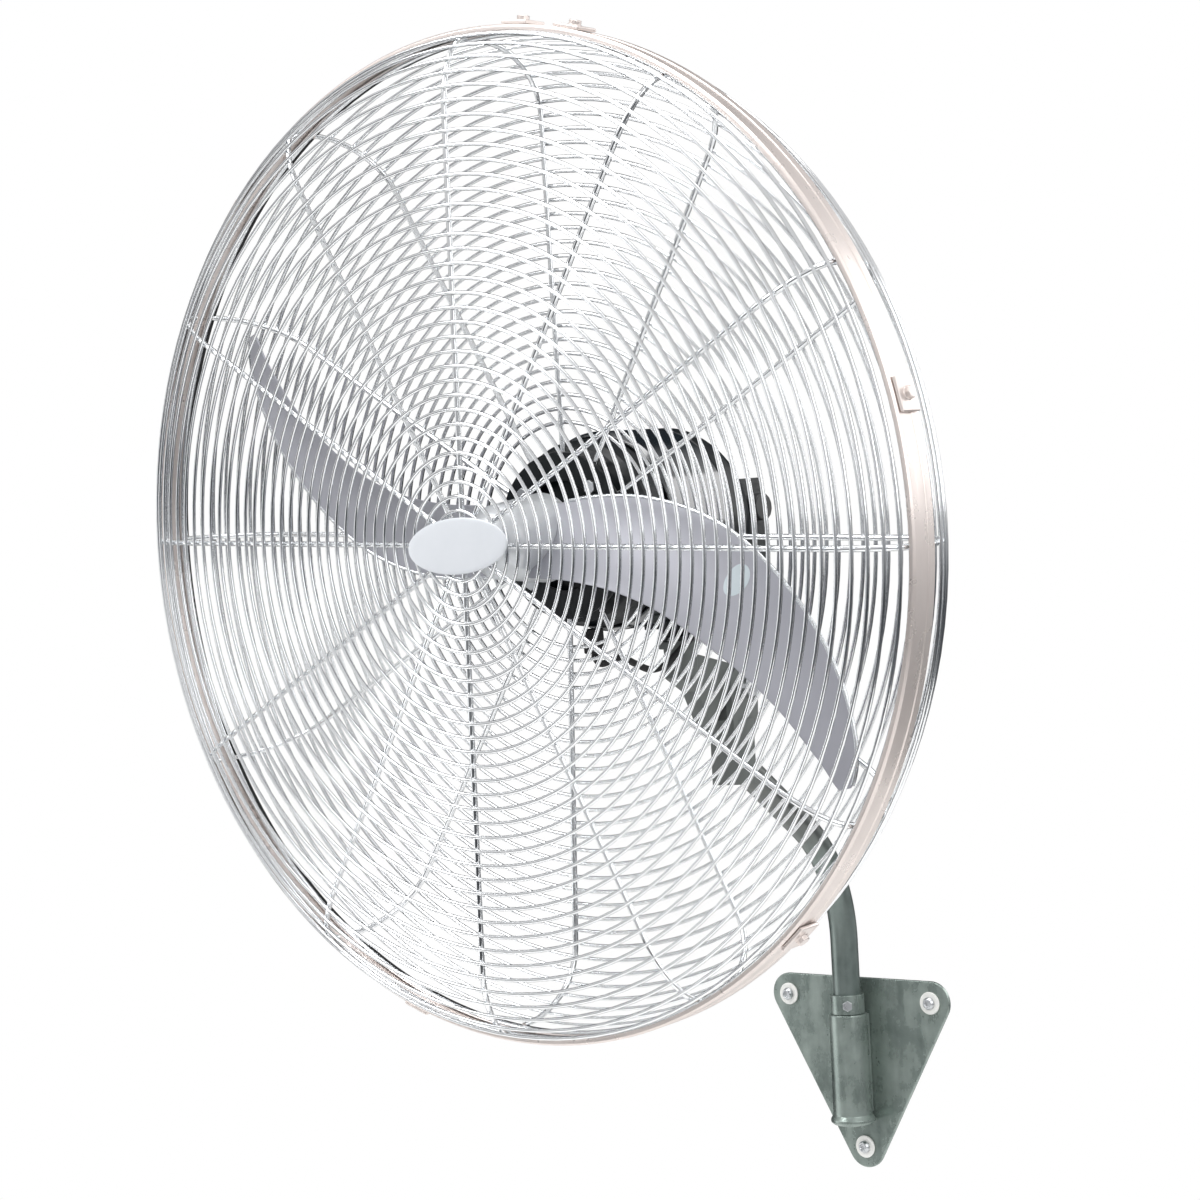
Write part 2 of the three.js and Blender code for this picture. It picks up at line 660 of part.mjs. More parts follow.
const rearRibLine = guardOutline(REAR_RING_R, REAR_CENTRE_DEPTH, REAR_KNEE_R, REAR_DEPTH, 0, 0);
const rearMiddle = new THREE.TorusGeometry(REAR_RING_R, RIB_R, 4, 24).rotateX(Math.PI / 2);
rearMiddle.translate(0, REAR_CENTRE_DEPTH, 0);
add(cage, "rear_guard_ribs", ribFrame(rearRibLine, 1, rearMiddle), chromeWire);
const rearSlope = (REAR_CENTRE_DEPTH - REAR_DEPTH) / (REAR_KNEE_R - REAR_RING_R);
const rearEyeDepth = REAR_CENTRE_DEPTH - (REAR_EYE_R - REAR_RING_R) * rearSlope;
const rearWireLine = guardOutline(
  REAR_EYE_R, rearEyeDepth, REAR_KNEE_R, REAR_DEPTH, WIRE_OFFSET, WIRE_STOP,
);
add(cage, "rear_guard_wire", spiral(rearWireLine, REAR_KNEE_R, 1), chromeWire);

// Rim band: a channel that holds the edge wires of both guards.
const rimIn = RIM_R - RIM_SHEET;
const lipIn = rimIn - RIM_LIP;
const lipBack = RIM_HALF - RIM_SHEET;
const band = turned([
  [lipIn, -RIM_HALF],
  [RIM_R, -RIM_HALF],
  [RIM_R, RIM_HALF],
  [lipIn, RIM_HALF],
  [lipIn, lipBack],
  [rimIn, lipBack],
  [rimIn, -lipBack],
  [lipIn, -lipBack],
], RIM_SIDES);
add(cage, "rim_band", band, bandSteel);

// Clips that clamp the band, each a small plate with a screw head: six evenly spaced, and
// one more near the top, where the two ends of the band meet.
const CLIP_CORNERS = [2, 10, 18, 26, 34, 42, 11]; // corners of the band that they sit on
CLIP_CORNERS.forEach((corner, i) => {
  const inside = RIM_R + CLEAR;
  const outside = inside + CLIP_THICK;
  const clip = join([
    box([inside, -CLIP_HALF[0], -CLIP_HALF[1]], [outside, CLIP_HALF[0], CLIP_HALF[1]]),
    rod("x", SCREW_R + 2, outside - 1, outside + SCREW_HEAD, [0, 0], 8),
  ]);
  const mesh = add(cage, `rim_clip_${i + 1}`, toGeometry(clip), bandSteel);
  mesh.rotation.y = (-TAU * corner) / RIM_SIDES;
});

// Blank oval badge on a short stem that stands on the front ribs.
const badgeBack = -FRONT_DEPTH - WIRE_OFFSET - WIRE_R - CLEAR;
const badgeShape = new THREE.Shape();
badgeShape.absellipse(0, 0, BADGE_HALF[0], BADGE_HALF[1], 0, TAU, false);
const badgePlate = new THREE.ExtrudeGeometry(badgeShape, {
  depth: BADGE_THICK,
  bevelEnabled: false,
  curveSegments: 14,
}).rotateX(Math.PI / 2).translate(0, badgeBack, 0);
const badgeStem = rod("y", BADGE_STEM_R, badgeBack - 1, -FRONT_DEPTH - RIB_R - CLEAR, [0, 0], 16);
add(head, "front_badge", toGeometry(join([badgePlate, badgeStem])), badgeGrey);

// Ring and screws that hold the rear guard to the motor.
const clampFace = REAR_CENTRE_DEPTH - RIB_R - CLEAR;
const clampFront = clampFace - CLAMP_THICK;
const clampSpots = [45, 135, 225, 315].map((degrees) => {
  const angle = (degrees * Math.PI) / 180;
  return [CLAMP_SCREW_CIRCLE * Math.cos(angle), CLAMP_SCREW_CIRCLE * Math.sin(angle)];
});
const clampRing = cut(solid(ring(...CLAMP_RING, clampFront, clampFace, 28)), clampSpots.map(
  (spot) => rod("y", SCREW_R + CLEAR, clampFront - 1, clampFace + 1, spot, 8),
));
add(head, "guard_clamp_ring", toGeometry(clampRing), motorBlack);
clampSpots.forEach(([x, z], i) => {
  const headFace = clampFront - CLEAR;
  const screw = hexBolt(SCREW_R, 2 * SCREW_R, SCREW_HEAD, BELL_FRONT - CLEAR - headFace);
  add(head, `guard_screw_${i + 1}`, screw, zincBright).position.set(x, headFace, z);
});

// ---------------------------------------------------------------- motor
const boreR = SHAFT_R + RUN;
const seatR = BEARING_R + CLEAR;
const seatOut = seatR + SEAT_WALL;

const frontBell = turned([
  [boreR, BELL_FRONT],
  [BELL_R - 12, BELL_FRONT],
  [BELL_R - 3, BELL_FRONT + 4],
  [BELL_R, BELL_FRONT + 12],
  [BELL_R + 2, HOUSING_FRONT],
  [BELL_R - 4, HOUSING_FRONT],
  [BELL_R - MOTOR_WALL, BELL_FRONT + MOTOR_WALL + 6],
  [seatOut, BELL_FRONT + MOTOR_WALL],
  [seatOut, BELL_FRONT + MOTOR_WALL + BEARING_WIDTH],
  [seatR, BELL_FRONT + MOTOR_WALL + BEARING_WIDTH],
  [seatR, BELL_FRONT + MOTOR_WALL],
  [boreR, BELL_FRONT + MOTOR_WALL],
], 28);
add(head, "motor_front_bell", frontBell, motorBlack);

const housing = turned([
  [HOUSING_R - MOTOR_WALL, HOUSING_FRONT + CLEAR],
  [HOUSING_R - 3, HOUSING_FRONT + CLEAR],
  [HOUSING_R, HOUSING_FRONT + 6],
  [HOUSING_R, HOUSING_BACK],
  [HOUSING_R - MOTOR_WALL, HOUSING_BACK],
], MOTOR_SIDES);
add(head, "motor_housing", housing, motorBlack);

// The rear bell carries the foot that turns on the swing pin.
const rearBellFront = HOUSING_BACK + CLEAR;
const rearSeat = BELL_BACK - MOTOR_WALL;
const rearBell = turned([
  [HOUSING_R - MOTOR_WALL, rearBellFront],
  [HOUSING_R, rearBellFront],
  [HOUSING_R, BELL_BACK - 13],
  [HOUSING_R - 3, BELL_BACK - 5],
  [HOUSING_R - 10, BELL_BACK],
  [boreR, BELL_BACK],
  [boreR, rearSeat],
  [seatR, rearSeat],
  [seatR, rearSeat - BEARING_WIDTH],
  [seatOut, rearSeat - BEARING_WIDTH],
  [seatOut, rearSeat],
  [HOUSING_R - MOTOR_WALL - 8, rearSeat],
  [HOUSING_R - MOTOR_WALL, rearSeat - 7],
], MOTOR_SIDES);
const foot = rod("z", FOOT_R, -BOSS_DROP, -HOUSING_R + 4, [0, SWING_BACK], 20);
const boreTop = -BOSS_DROP + PIN_REACH + 1;
const footBore = rod("z", SWING_PIN_R + CLEAR, -BOSS_DROP - 1, boreTop, [0, SWING_BACK], 16);
const glandSpot = [FOOT_R + REAR_GLAND_R, rearBellFront + REAR_GLAND_R + 1];
const glandBoss = rod("z", REAR_GLAND_R, -HOUSING_R - 1, -HOUSING_R + MOTOR_WALL, glandSpot, 12);
const rearBellBody = join([rearBell, foot, glandBoss]);
add(head, "motor_rear_bell", toGeometry(cut(rearBellBody, [footBore])), motorBlack);

const bearingFronts = [BELL_FRONT + MOTOR_WALL + CLEAR, rearSeat - BEARING_WIDTH - CLEAR];
bearingFronts.forEach((from, i) => {
  const bearing = ring(SHAFT_R + CLEAR, BEARING_R, from, from + BEARING_WIDTH, 18);
  add(head, ["bearing_front", "bearing_rear"][i], bearing, plainSteel);
});

const coreR = HOUSING_R - MOTOR_WALL - CLEAR;
add(head, "stator_core", ring(CORE_BORE_R, coreR, CORE_FRONT, CORE_BACK, MOTOR_SIDES), coreSteel);
const windingFronts = [CORE_FRONT - CLEAR - WINDING_LENGTH, CORE_BACK + CLEAR];
windingFronts.forEach((from, i) => {
  const to = from + WINDING_LENGTH;
  const winding = ring(WINDING_R - WINDING_THICK, WINDING_R, from, to, 20);
  add(head, ["winding_front", "winding_rear"][i], winding, copperWire);
});

// ---------------------------------------------------------------- rotor
const rotor = new THREE.Group();
head.add(rotor);

const shaftBack = WORM_BACK + 4;
const shaft = turned([
  [0, HUB_NOSE + 11],
  [SHAFT_R, HUB_NOSE + 11],
  [SHAFT_R, BELL_BACK - 3],
  [TAIL_R, BELL_BACK - 3],
  [TAIL_R, shaftBack],
  [0, shaftBack],
], 14);
add(rotor, "rotor_shaft", shaft, plainSteel);
add(rotor, "rotor_core", ring(SHAFT_R + CLEAR, CORE_BORE_R - RUN, CORE_FRONT, CORE_BACK, 28), coreSteel);

const wormProfile = [[TAIL_R + CLEAR, WORM_FRONT], [WORM_R - 2, WORM_FRONT]];
const wormThreads = 4;
const wormPitch = (WORM_BACK - WORM_FRONT) / wormThreads;
for (let i = 0; i < wormThreads; i += 1) {
  const from = WORM_FRONT + i * wormPitch;
  wormProfile.push([WORM_R, from + wormPitch * 0.35], [WORM_R, from + wormPitch * 0.65]);
  wormProfile.push([WORM_R - 2, from + wormPitch]);
}
wormProfile.push([TAIL_R + CLEAR, WORM_BACK]);
add(rotor, "worm", turned(wormProfile, 14), plainSteel);

const hubLine = [
  [0, HUB_NOSE],
  [HUB_FRONT_R * 0.5, HUB_NOSE + 1.2],
  [HUB_FRONT_R * 0.8, HUB_NOSE + 5],
  [HUB_FRONT_R * 0.95, HUB_NOSE + 11],
  [HUB_FRONT_R, HUB_NOSE + 20],
  [HUB_BACK_R, HUB_BACK - 3],
  [HUB_BACK_R - 2, HUB_BACK],
];
const hub = turned([
  ...hubLine,
  [SHAFT_R + CLEAR, HUB_BACK],
  [SHAFT_R + CLEAR, HUB_NOSE + 10],
  [0, HUB_NOSE + 10],
], 28);
add(rotor, "hub", hub, hubAlloy);

// Mean line of a blade that sweeps back from its leading edge, in shares of its reach.
const BLADE_MEAN = [
  [0.061, -0.008],
  [0.194, -0.011],
  [0.346, -0.039],
  [0.492, -0.102],
  [0.63, -0.21],
  [0.741, -0.343],
  [0.807, -0.476],
  [0.824, -0.567],
];
const bladeMean = new THREE.CatmullRomCurve3(
  BLADE_MEAN.map(([x, z]) => new THREE.Vector3(BLADE_R * x, 0, BLADE_R * z)),
);

// The blade swells to its full breadth, then narrows to the tip.
function bladeWidth(t) {
  const rise = Math.sin((Math.min(t / BLADE_WIDEST_AT, 1) * Math.PI) / 2);
  const swell = BLADE_ROOT_WIDTH + (BLADE_MAX_WIDTH - BLADE_ROOT_WIDTH) * rise;
  const beyond = Math.max(t - BLADE_WIDEST_AT, 0) / (1 - BLADE_WIDEST_AT);
  return swell + (BLADE_TIP_WIDTH - swell) * Math.pow(beyond, 1.6);
}

// The blade is lofted through sections of eight points, four on each face.
function bladeLoft() {
  const stations = 13;
  const across = [-0.5, -0.2, 0.2, 0.5];
  const rows = [];
  for (let i = 0; i < stations; i += 1) {
    const t = i / (stations - 1);
    const centre = bladeMean.getPointAt(t);
    const along = bladeMean.getTangentAt(t);
    const lead = new THREE.Vector3(-along.z, 0, along.x);
    const pitch = (BLADE_ROOT_PITCH + (BLADE_TIP_PITCH - BLADE_ROOT_PITCH) * t) * Math.PI / 180;
    const width = bladeWidth(t);
    const row = [];
    for (const face of [1, -1]) {
      for (const place of face > 0 ? across : [...across].reverse()) {
        const camber = 0.09 * width * (1 - 4 * place * place);
        const thick = BLADE_THICK * (Math.abs(place) > 0.4 ? 0.4 : 1);
        const point = centre.clone().addScaledVector(lead, place * width);
        point.y = BLADE_MID + place * width * Math.tan(pitch) + camber + (face * thick) / 2;
        row.push(point);
      }
    }
    rows.push(row);
  }
  return loft(rows);
}

// Joins closed sections of equal length into one solid with flat ends.
function loft(rows) {
  const count = rows[0].length;
  const position = rows.flat().flatMap((p) => [p.x, p.y, p.z]);
  const index = [];
  for (let i = 0; i + 1 < rows.length; i += 1) {
    for (let k = 0; k < count; k += 1) {
      const a = i * count + k;
      const b = i * count + ((k + 1) % count);
      index.push(a, b, b + count, a, b + count, a + count);
    }
  }
  const last = (rows.length - 1) * count;
  for (let k = 0; k < count / 2 - 1; k += 1) {
    const far = count - 1 - k;
    index.push(k, far, far - 1, k, far - 1, k + 1);
    index.push(last + k, last + far - 1, last + far, last + k, last + k + 1, last + far - 1);
  }
  const geometry = new THREE.BufferGeometry();
  geometry.setAttribute("position", new THREE.Float32BufferAttribute(position, 3));
  geometry.setIndex(index);
  return signedVolume(geometry) < 0 ? flipped(geometry) : geometry;
}

// The root of each blade is cut to the hub's flank.
const hubSeat = turned([
  ...hubLine.map(([r, y], i) => [i === 0 ? 0 : r + CLEAR, i === 0 ? y - CLEAR : y]),
  [0, HUB_BACK + CLEAR],
], 28);
const bladeSolid = cut(solid(bladeLoft()), [hubSeat]);
for (let i = 0; i < BLADE_COUNT; i += 1) {
  const blade = toGeometry(bladeSolid).rotateY((-TAU * i) / BLADE_COUNT);
  add(rotor, `blade_${i + 1}`, blade, bladeAlloy);
}

// ---------------------------------------------------------------- gear case
const caseFront = BELL_BACK + CLEAR;
const caseOuter = box([CASE_LEFT, caseFront, CASE_BOTTOM], [CASE_RIGHT, CASE_BACK, CASE_TOP]);
const knobY = SWING_BACK + CRANK_BACK;
const caseSolid = cut(solid(caseOuter), [
  box(
    [CASE_LEFT + CASE_WALL, caseFront + CASE_WALL, CASE_BOTTOM + CASE_WALL],
    [CASE_RIGHT - CASE_WALL, CASE_BACK + 1, CASE_TOP - CASE_WALL],
  ),
  rod("y", TAIL_R + RUN, caseFront - 1, caseFront + CASE_WALL + 1, [0, 0], 14),
  rod("z", AXLE_R + CLEAR, CASE_BOTTOM - 1, CASE_BOTTOM + CASE_WALL + 1, [GEAR_X, knobY], 12),
  rod("x", AXLE_R + CLEAR, CASE_RIGHT - CASE_WALL - 1, CASE_RIGHT + 1, [knobY, KNOB_Z], 12),
]);
add(head, "gear_case", toGeometry(caseSolid), motorBlack);

const coverFront = CASE_BACK + CLEAR;
const coverBack = coverFront + COVER_THICK;
const cover = box([CASE_LEFT, coverFront, CASE_BOTTOM], [CASE_RIGHT, coverBack, CASE_TOP]);
add(head, "gear_cover", cover, motorBlack);

// Worm wheel, its upright axle, and the crank below the case.
const gearDrive = new THREE.Group();
gearDrive.position.set(GEAR_X, knobY, 0);
head.add(gearDrive);

const gearR = -GEAR_X - WORM_R - RUN;
function gearOutline() {
  const shape = new THREE.Shape();
  const rootR = gearR - 2.2;
  for (let i = 0; i < GEAR_TEETH; i += 1) {
    const corners = [[rootR, -0.26], [gearR, -0.12], [gearR, 0.12], [rootR, 0.26]];
    corners.forEach(([r, place], k) => {
      const angle = (TAU * (i + place)) / GEAR_TEETH;
      const move = i === 0 && k === 0 ? "moveTo" : "lineTo";
      shape[move](r * Math.cos(angle), r * Math.sin(angle));
    });
  }
  shape.closePath();
  const bore = new THREE.Path();
  bore.absarc(0, 0, AXLE_R + CLEAR, 0, TAU, true);
  shape.holes.push(bore);
  return shape;
}
const gear = new THREE.ExtrudeGeometry(gearOutline(), {
  depth: GEAR_THICK,
  bevelEnabled: false,
  curveSegments: 6,
});
add(gearDrive, "worm_wheel", gear.translate(0, 0, -GEAR_THICK / 2), brass);

const crankTop = CASE_BOTTOM - RUN;
const crankUnder = crankTop - 2.5;
const crankPinEnd = -BOSS_DROP - RUN + CLEAR;
const crank = join([
  rod("z", AXLE_R, crankUnder, 12, [0, 0], 12),
  rod("z", CRANK_DISC_R, crankUnder, crankTop, [0, 0], 18),
  rod("z", LINK_PIN_R, crankPinEnd, crankTop - 1, [CRANK_THROW, 0], 8),
]);
add(gearDrive, "crank", toGeometry(crank), plainSteel);

// Knob on the side of the case that lets the swing drive in and out.
const knobOut = CASE_RIGHT + KNOB_TRAVEL + RUN;
const knob = join([
  rod("x", AXLE_R, CASE_RIGHT - 12, knobOut + 2, [0, 0], 12),
  rod("x", KNOB_R, knobOut, knobOut + KNOB_LENGTH, [0, 0], 14),
]);
const knobMesh = add(head, "swing_knob", toGeometry(knob), motorBlack);
knobMesh.position.set(0, knobY, KNOB_Z);

// Capacitor in the lower right of the case.
const capacitorLow = CASE_BOTTOM + CASE_WALL + CLEAR;
const capacitorX = CASE_RIGHT - CASE_WALL - CAPACITOR_R - 5;
const capacitorTop = capacitorLow + CAPACITOR_LENGTH;
const capacitorCan = rod("z", CAPACITOR_R, capacitorLow, capacitorTop, [capacitorX, knobY], 16);
add(head, "capacitor", capacitorCan, plainSteel);

// ---------------------------------------------------------------- lead under the motor
const frontGlandY = BELL_FRONT + 2 * FRONT_GLAND_R;
const frontGlandTop = -BELL_R - 2 - CLEAR;
const frontGlandLow = CASE_BOTTOM - FRONT_GLAND_R;
const rearGlandTop = -HOUSING_R - 1 - CLEAR;
const rearGlandLow = rearGlandTop - REAR_GLAND_LENGTH;
const frontGland = rod("z", FRONT_GLAND_R, frontGlandLow, frontGlandTop, [0, frontGlandY], 12);
add(head, "lead_gland_front", frontGland, blackRubber);
const rearGland = rod("z", REAR_GLAND_R, rearGlandLow, rearGlandTop, glandSpot, 12);
add(head, "lead_gland_rear", rearGland, blackRubber);
const leadCurve = new THREE.CatmullRomCurve3([
  new THREE.Vector3(0, frontGlandY, frontGlandLow - 4),
  new THREE.Vector3(0, frontGlandY + 8, frontGlandLow - 10),
  new THREE.Vector3(2, HOUSING_FRONT + 10, frontGlandLow - 7),
  new THREE.Vector3(4, CORE_FRONT + 14, frontGlandLow - 14),
  new THREE.Vector3(8, CORE_BACK - 21, frontGlandLow - 21),
  new THREE.Vector3(13, CORE_BACK - 7, frontGlandLow - 19),
  new THREE.Vector3(glandSpot[0] - 4, glandSpot[1] - 19, rearGlandLow - 19),
  new THREE.Vector3(glandSpot[0] - 2, glandSpot[1] - 9, rearGlandLow - 12),
  new THREE.Vector3(...glandSpot, rearGlandLow - 6),
]);
// Both ends leave their glands square to them.
const leadLine = [
  new THREE.Vector3(0, frontGlandY, frontGlandLow - CLEAR),
  ...leadCurve.getSpacedPoints(18),
  new THREE.Vector3(...glandSpot, rearGlandLow - CLEAR),
];
add(head, "motor_lead", wire(leadLine, LEAD_R, 8), blackRubber);

export default group;
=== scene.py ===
"""Looks of a wall mounted fan: chromed wire cage, two swept blades and a black motor on a bent arm."""
import json
import logging
import math
from collections.abc import Sequence
from dataclasses import dataclass, field
from enum import Enum

import bmesh
import bpy
from mathutils import Matrix, Vector


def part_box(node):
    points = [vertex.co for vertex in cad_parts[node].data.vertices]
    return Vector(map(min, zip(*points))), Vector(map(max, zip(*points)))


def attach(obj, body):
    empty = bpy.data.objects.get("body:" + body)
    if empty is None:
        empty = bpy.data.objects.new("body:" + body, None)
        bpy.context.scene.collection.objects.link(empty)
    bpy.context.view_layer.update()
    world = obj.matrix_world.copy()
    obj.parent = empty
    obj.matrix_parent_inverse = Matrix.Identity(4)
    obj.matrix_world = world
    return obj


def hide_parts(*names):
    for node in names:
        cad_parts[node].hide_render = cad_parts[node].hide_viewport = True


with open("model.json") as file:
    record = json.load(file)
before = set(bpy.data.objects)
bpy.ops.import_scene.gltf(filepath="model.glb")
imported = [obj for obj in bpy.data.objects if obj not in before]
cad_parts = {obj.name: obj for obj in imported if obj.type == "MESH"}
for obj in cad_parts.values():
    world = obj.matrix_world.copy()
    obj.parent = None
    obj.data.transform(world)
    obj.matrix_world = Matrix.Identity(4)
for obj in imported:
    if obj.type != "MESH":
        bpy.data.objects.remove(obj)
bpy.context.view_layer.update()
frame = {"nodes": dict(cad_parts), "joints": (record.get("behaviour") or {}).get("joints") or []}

LOG = logging.getLogger("wall_fan")
MM = 0.001
TAU = 2 * math.pi

Mesh = bpy.types.Mesh
Node = bpy.types.Node
Socket = bpy.types.NodeSocket
Tree = bpy.types.NodeTree
Point = tuple[float, float]
Spot = tuple[float, float, float]
Profile = Sequence[Point]


# ------------------------------------------------------------------ node trees
def linear(hex_colour: str) -> tuple[float, float, float, float]:
    """Turn an sRGB hex colour into the linear one that shaders take.

    Args:
        hex_colour: Six hex digits after a hash sign.

    Returns:
        Linear red, green, blue and an alpha of one.
    """
    channels = [int(hex_colour[i:i + 2], 16) / 255 for i in (1, 3, 5)]
    straight = [c / 12.92 if c <= 0.04045 else ((c + 0.055) / 1.055) ** 2.4 for c in channels]
    return (*straight, 1.0)


def add_node(tree: Tree, kind: str, links: dict | None = None, **settings: object) -> Node:
    """Add a node with its settings and links.

    Args:
        tree: The tree that takes the node.
        kind: Blender's name for the kind of node.
        links: Input name or number to a value, which is set, or to a socket, which is linked. A node
            stands for the first of its outputs that is in use.
        settings: Properties of the node itself.

    Returns:
        The new node.
    """
    node = tree.nodes.new(kind)
    for name, value in settings.items():
        setattr(node, name, value)
    for key, value in (links or {}).items():
        if isinstance(value, Node):
            value = next(output for output in value.outputs if output.enabled)
        if isinstance(value, Socket):
            tree.links.new(value, node.inputs[key])
        else:
            node.inputs[key].default_value = value
    return node


# ------------------------------------------------------------------ finishes
NOISE_LOW, NOISE_HIGH = 0.3, 0.7  # most of a noise lies between these
LEAST_ROUGHNESS = 0.02
COAT_ROUGHNESS = 0.08
GRAIN_HEIGHT = 0.2  # height of the grain as a share of its width


class Axis(Enum):
    """Direction across which the lines of a worked surface lie."""

    SHAFT = "shaft"
    UPRIGHT = "upright"
    SIDEWAYS = "sideways"


@dataclass(frozen=True)
class Finish:
    """A material and the way its surface was made.

    Args:
        name: Common name of the material and process.
        colour: Main sRGB colour.
        shade: Second sRGB colour, which the pattern brings in.
        metallic: One for bare metal, nought for paint and plastic.
        roughness: Mean roughness.
        spread: How far the roughness varies either way.
        patch_mm: Size of the soft patches of colour.
        grain_mm: Size of the fine grain that the bump shows.
        bump: Strength of the bump.
        coat: Strength of a clear top layer.
        specular: Mirror strength of paint and plastic; a half is plain, less is matt.
    """

    name: str
    colour: str
    shade: str
    metallic: float = 0.0
    roughness: float = 0.4
    spread: float = 0.08
    patch_mm: float = 25.0
    grain_mm: float = 1.2
    bump: float = 0.15
    coat: float = 0.0
    specular: float = 0.5

    def patches(self, tree: Tree, place: Socket) -> Node:
        """Give the soft large-scale variation, from nought to one."""
        return add_node(tree, "ShaderNodeTexNoise", {
            "Vector": place, "Scale": 1 / (self.patch_mm * MM), "Detail": 5.0, "Roughness": 0.6,
        })

    def grain(self, tree: Tree, place: Socket) -> Node:
        """Give the fine height that the bump follows."""
        return add_node(tree, "ShaderNodeTexNoise", {
            "Vector": place, "Scale": 1 / (self.grain_mm * MM), "Detail": 2.0,
        })

    def tint(self, tree: Tree, place: Socket, patches: Node) -> Node:
        """Give the colour: the main one, with the second where the patches are."""
        return add_node(tree, "ShaderNodeMix", {
            "Factor": patches, 6: linear(self.colour), 7: linear(self.shade),
        }, data_type="RGBA")

    def material(self) -> bpy.types.Material:
        """Build the material, or give the one already built, which is named for the finish."""
        known = bpy.data.materials.get(self.name)
        if known is not None:
            return known
        material = bpy.data.materials.new(self.name)
        material.use_nodes = True
        tree = material.node_tree
        tree.nodes.clear()
        place = add_node(tree, "ShaderNodeTexCoord").outputs["Object"]
        patches = self.patches(tree, place)
        rough = add_node(tree, "ShaderNodeMapRange", {
            "Value": patches, "From Min": NOISE_LOW, "From Max": NOISE_HIGH,
            "To Min": max(self.roughness - self.spread, LEAST_ROUGHNESS),
            "To Max": self.roughness + self.spread,
        })
        bump = add_node(tree, "ShaderNodeBump", {
            "Height": self.grain(tree, place), "Strength": self.bump,
            "Distance": GRAIN_HEIGHT * self.grain_mm * MM,
        })
        shader = add_node(tree, "ShaderNodeBsdfPrincipled", {
            "Base Color": self.tint(tree, place, patches), "Metallic": self.metallic, "Roughness": rough,
            "Normal": bump, "Coat Weight": self.coat, "Coat Roughness": COAT_ROUGHNESS,
            "Specular IOR Level": self.specular,
        })
        add_node(tree, "ShaderNodeOutputMaterial", {"Surface": shader})
        return material


@dataclass(frozen=True)
class LinedFinish(Finish):
    """A surface with fine lines left by a roll, a spinning tool or stacked sheet.

    Args:
        across: Direction across which the lines lie.
        line_mm: Spacing of the lines.
        run_mm: Length of a line.
        lean_deg: How far that direction leans with the head.
    """

    across: Axis = Axis.SHAFT
    line_mm: float = 1.0
    run_mm: float = 250.0
    lean_deg: float = 4.3

    def grain(self, tree: Tree, place: Socket) -> Node:
        """Give noise that is stretched out along the lines."""
        fine, coarse = 1 / (self.line_mm * MM), 1 / (self.run_mm * MM)
        scale = {
            Axis.SHAFT: (coarse, fine, coarse),
            Axis.UPRIGHT: (coarse, coarse, fine),
            Axis.SIDEWAYS: (fine, coarse, coarse),
        }[self.across]
        turned = add_node(tree, "ShaderNodeMapping", {
            "Vector": place, "Rotation": (-math.radians(self.lean_deg), 0.0, 0.0),
        })
        stretched = add_node(tree, "ShaderNodeVectorMath", {0: turned, 1: scale}, operation="MULTIPLY")
        return add_node(tree, "ShaderNodeTexNoise", {"Vector": stretched, "Scale": 1.0, "Detail": 3.0})


@dataclass(frozen=True)
class SpangledFinish(Finish):
    """Dip-coated steel: crystals of zinc over a cloudy, streaked ground.

    Args:
        spangle_mm: Size of a crystal.
        spangle_share: How much of the pattern is crystals.
        streak_mm: Width of the upright streaks left as the coating drained.
        streak_length: How many times as long as wide they are.
        streak_share: How much of the ground under the crystals is streaks.
        lowest: Value of the pattern that shows the main colour alone.
    """

    spangle_mm: float = 6.0
    spangle_share: float = 0.04
    streak_mm: float = 9.0
    streak_length: float = 7.0
    streak_share: float = 0.4
    lowest: float = 0.24

    def patches(self, tree: Tree, place: Socket) -> Node:
        """Mix clouds, drained streaks and crystals."""
        clouds = super().patches(tree, place)
        narrow = 1 / (self.streak_mm * MM)
        drained = add_node(tree, "ShaderNodeVectorMath", {
            0: place, 1: (narrow, narrow, narrow / self.streak_length),
        }, operation="MULTIPLY")
        streaks = add_node(tree, "ShaderNodeTexNoise", {"Vector": drained, "Scale": 1.0, "Detail": 3.0})
        crystals = add_node(tree, "ShaderNodeTexVoronoi", {
            "Vector": place, "Scale": 1 / (self.spangle_mm * MM),
        })
        shine = add_node(tree, "ShaderNodeSeparateColor", {"Color": crystals.outputs["Color"]})
        ground = add_node(tree, "ShaderNodeMix", {
            "Factor": self.streak_share, 2: clouds, 3: streaks,
        }, data_type="FLOAT")
        mixed = add_node(tree, "ShaderNodeMix", {
            "Factor": self.spangle_share, 2: ground, 3: shine,
        }, data_type="FLOAT")
        return add_node(tree, "ShaderNodeMapRange", {
            "Value": mixed, "From Min": self.lowest, "From Max": 1 - self.lowest,
        })


@dataclass(frozen=True)
class ShadedAboveFinish(SpangledFinish):
    """Dip-coated steel that goes over into a flat darker grey above a height: painted shade.

    Args:
        paint: Flat grey of the painted shade.
        from_mm: Height where the painted shade starts.
        to_mm: Height where the painted shade is full.
    """

    paint: str = "#6a6d6b"
    from_mm: float = 195.0
    to_mm: float = 245.0

    def tint(self, tree: Tree, place: Socket, patches: Node) -> Node:
        """Give the coating's colour below and the painted shade's flat grey above."""
        coated = super().tint(tree, place, patches)
        parts = add_node(tree, "ShaderNodeSeparateXYZ", {"Vector": place})
        cover = add_node(tree, "ShaderNodeMapRange", {
            "Value": parts.outputs["Z"], "From Min": self.from_mm * MM, "From Max": self.to_mm * MM,
        }, interpolation_type="SMOOTHSTEP")
        return add_node(tree, "ShaderNodeMix", {
            # Painted shade: above the height the colour goes over to a flat darker grey.
            "Factor": cover, 6: coated, 7: linear(self.paint),
        }, data_type="RGBA")


# Bright plating over drawn wire: mirror-like, with a faint waver from the drawing die.
CHROME_WIRE = Finish("chrome plated drawn wire", "#f6f7f8", "#e8eaec", 1.0, 0.12, 0.04, 30, 2.0, 0.05)
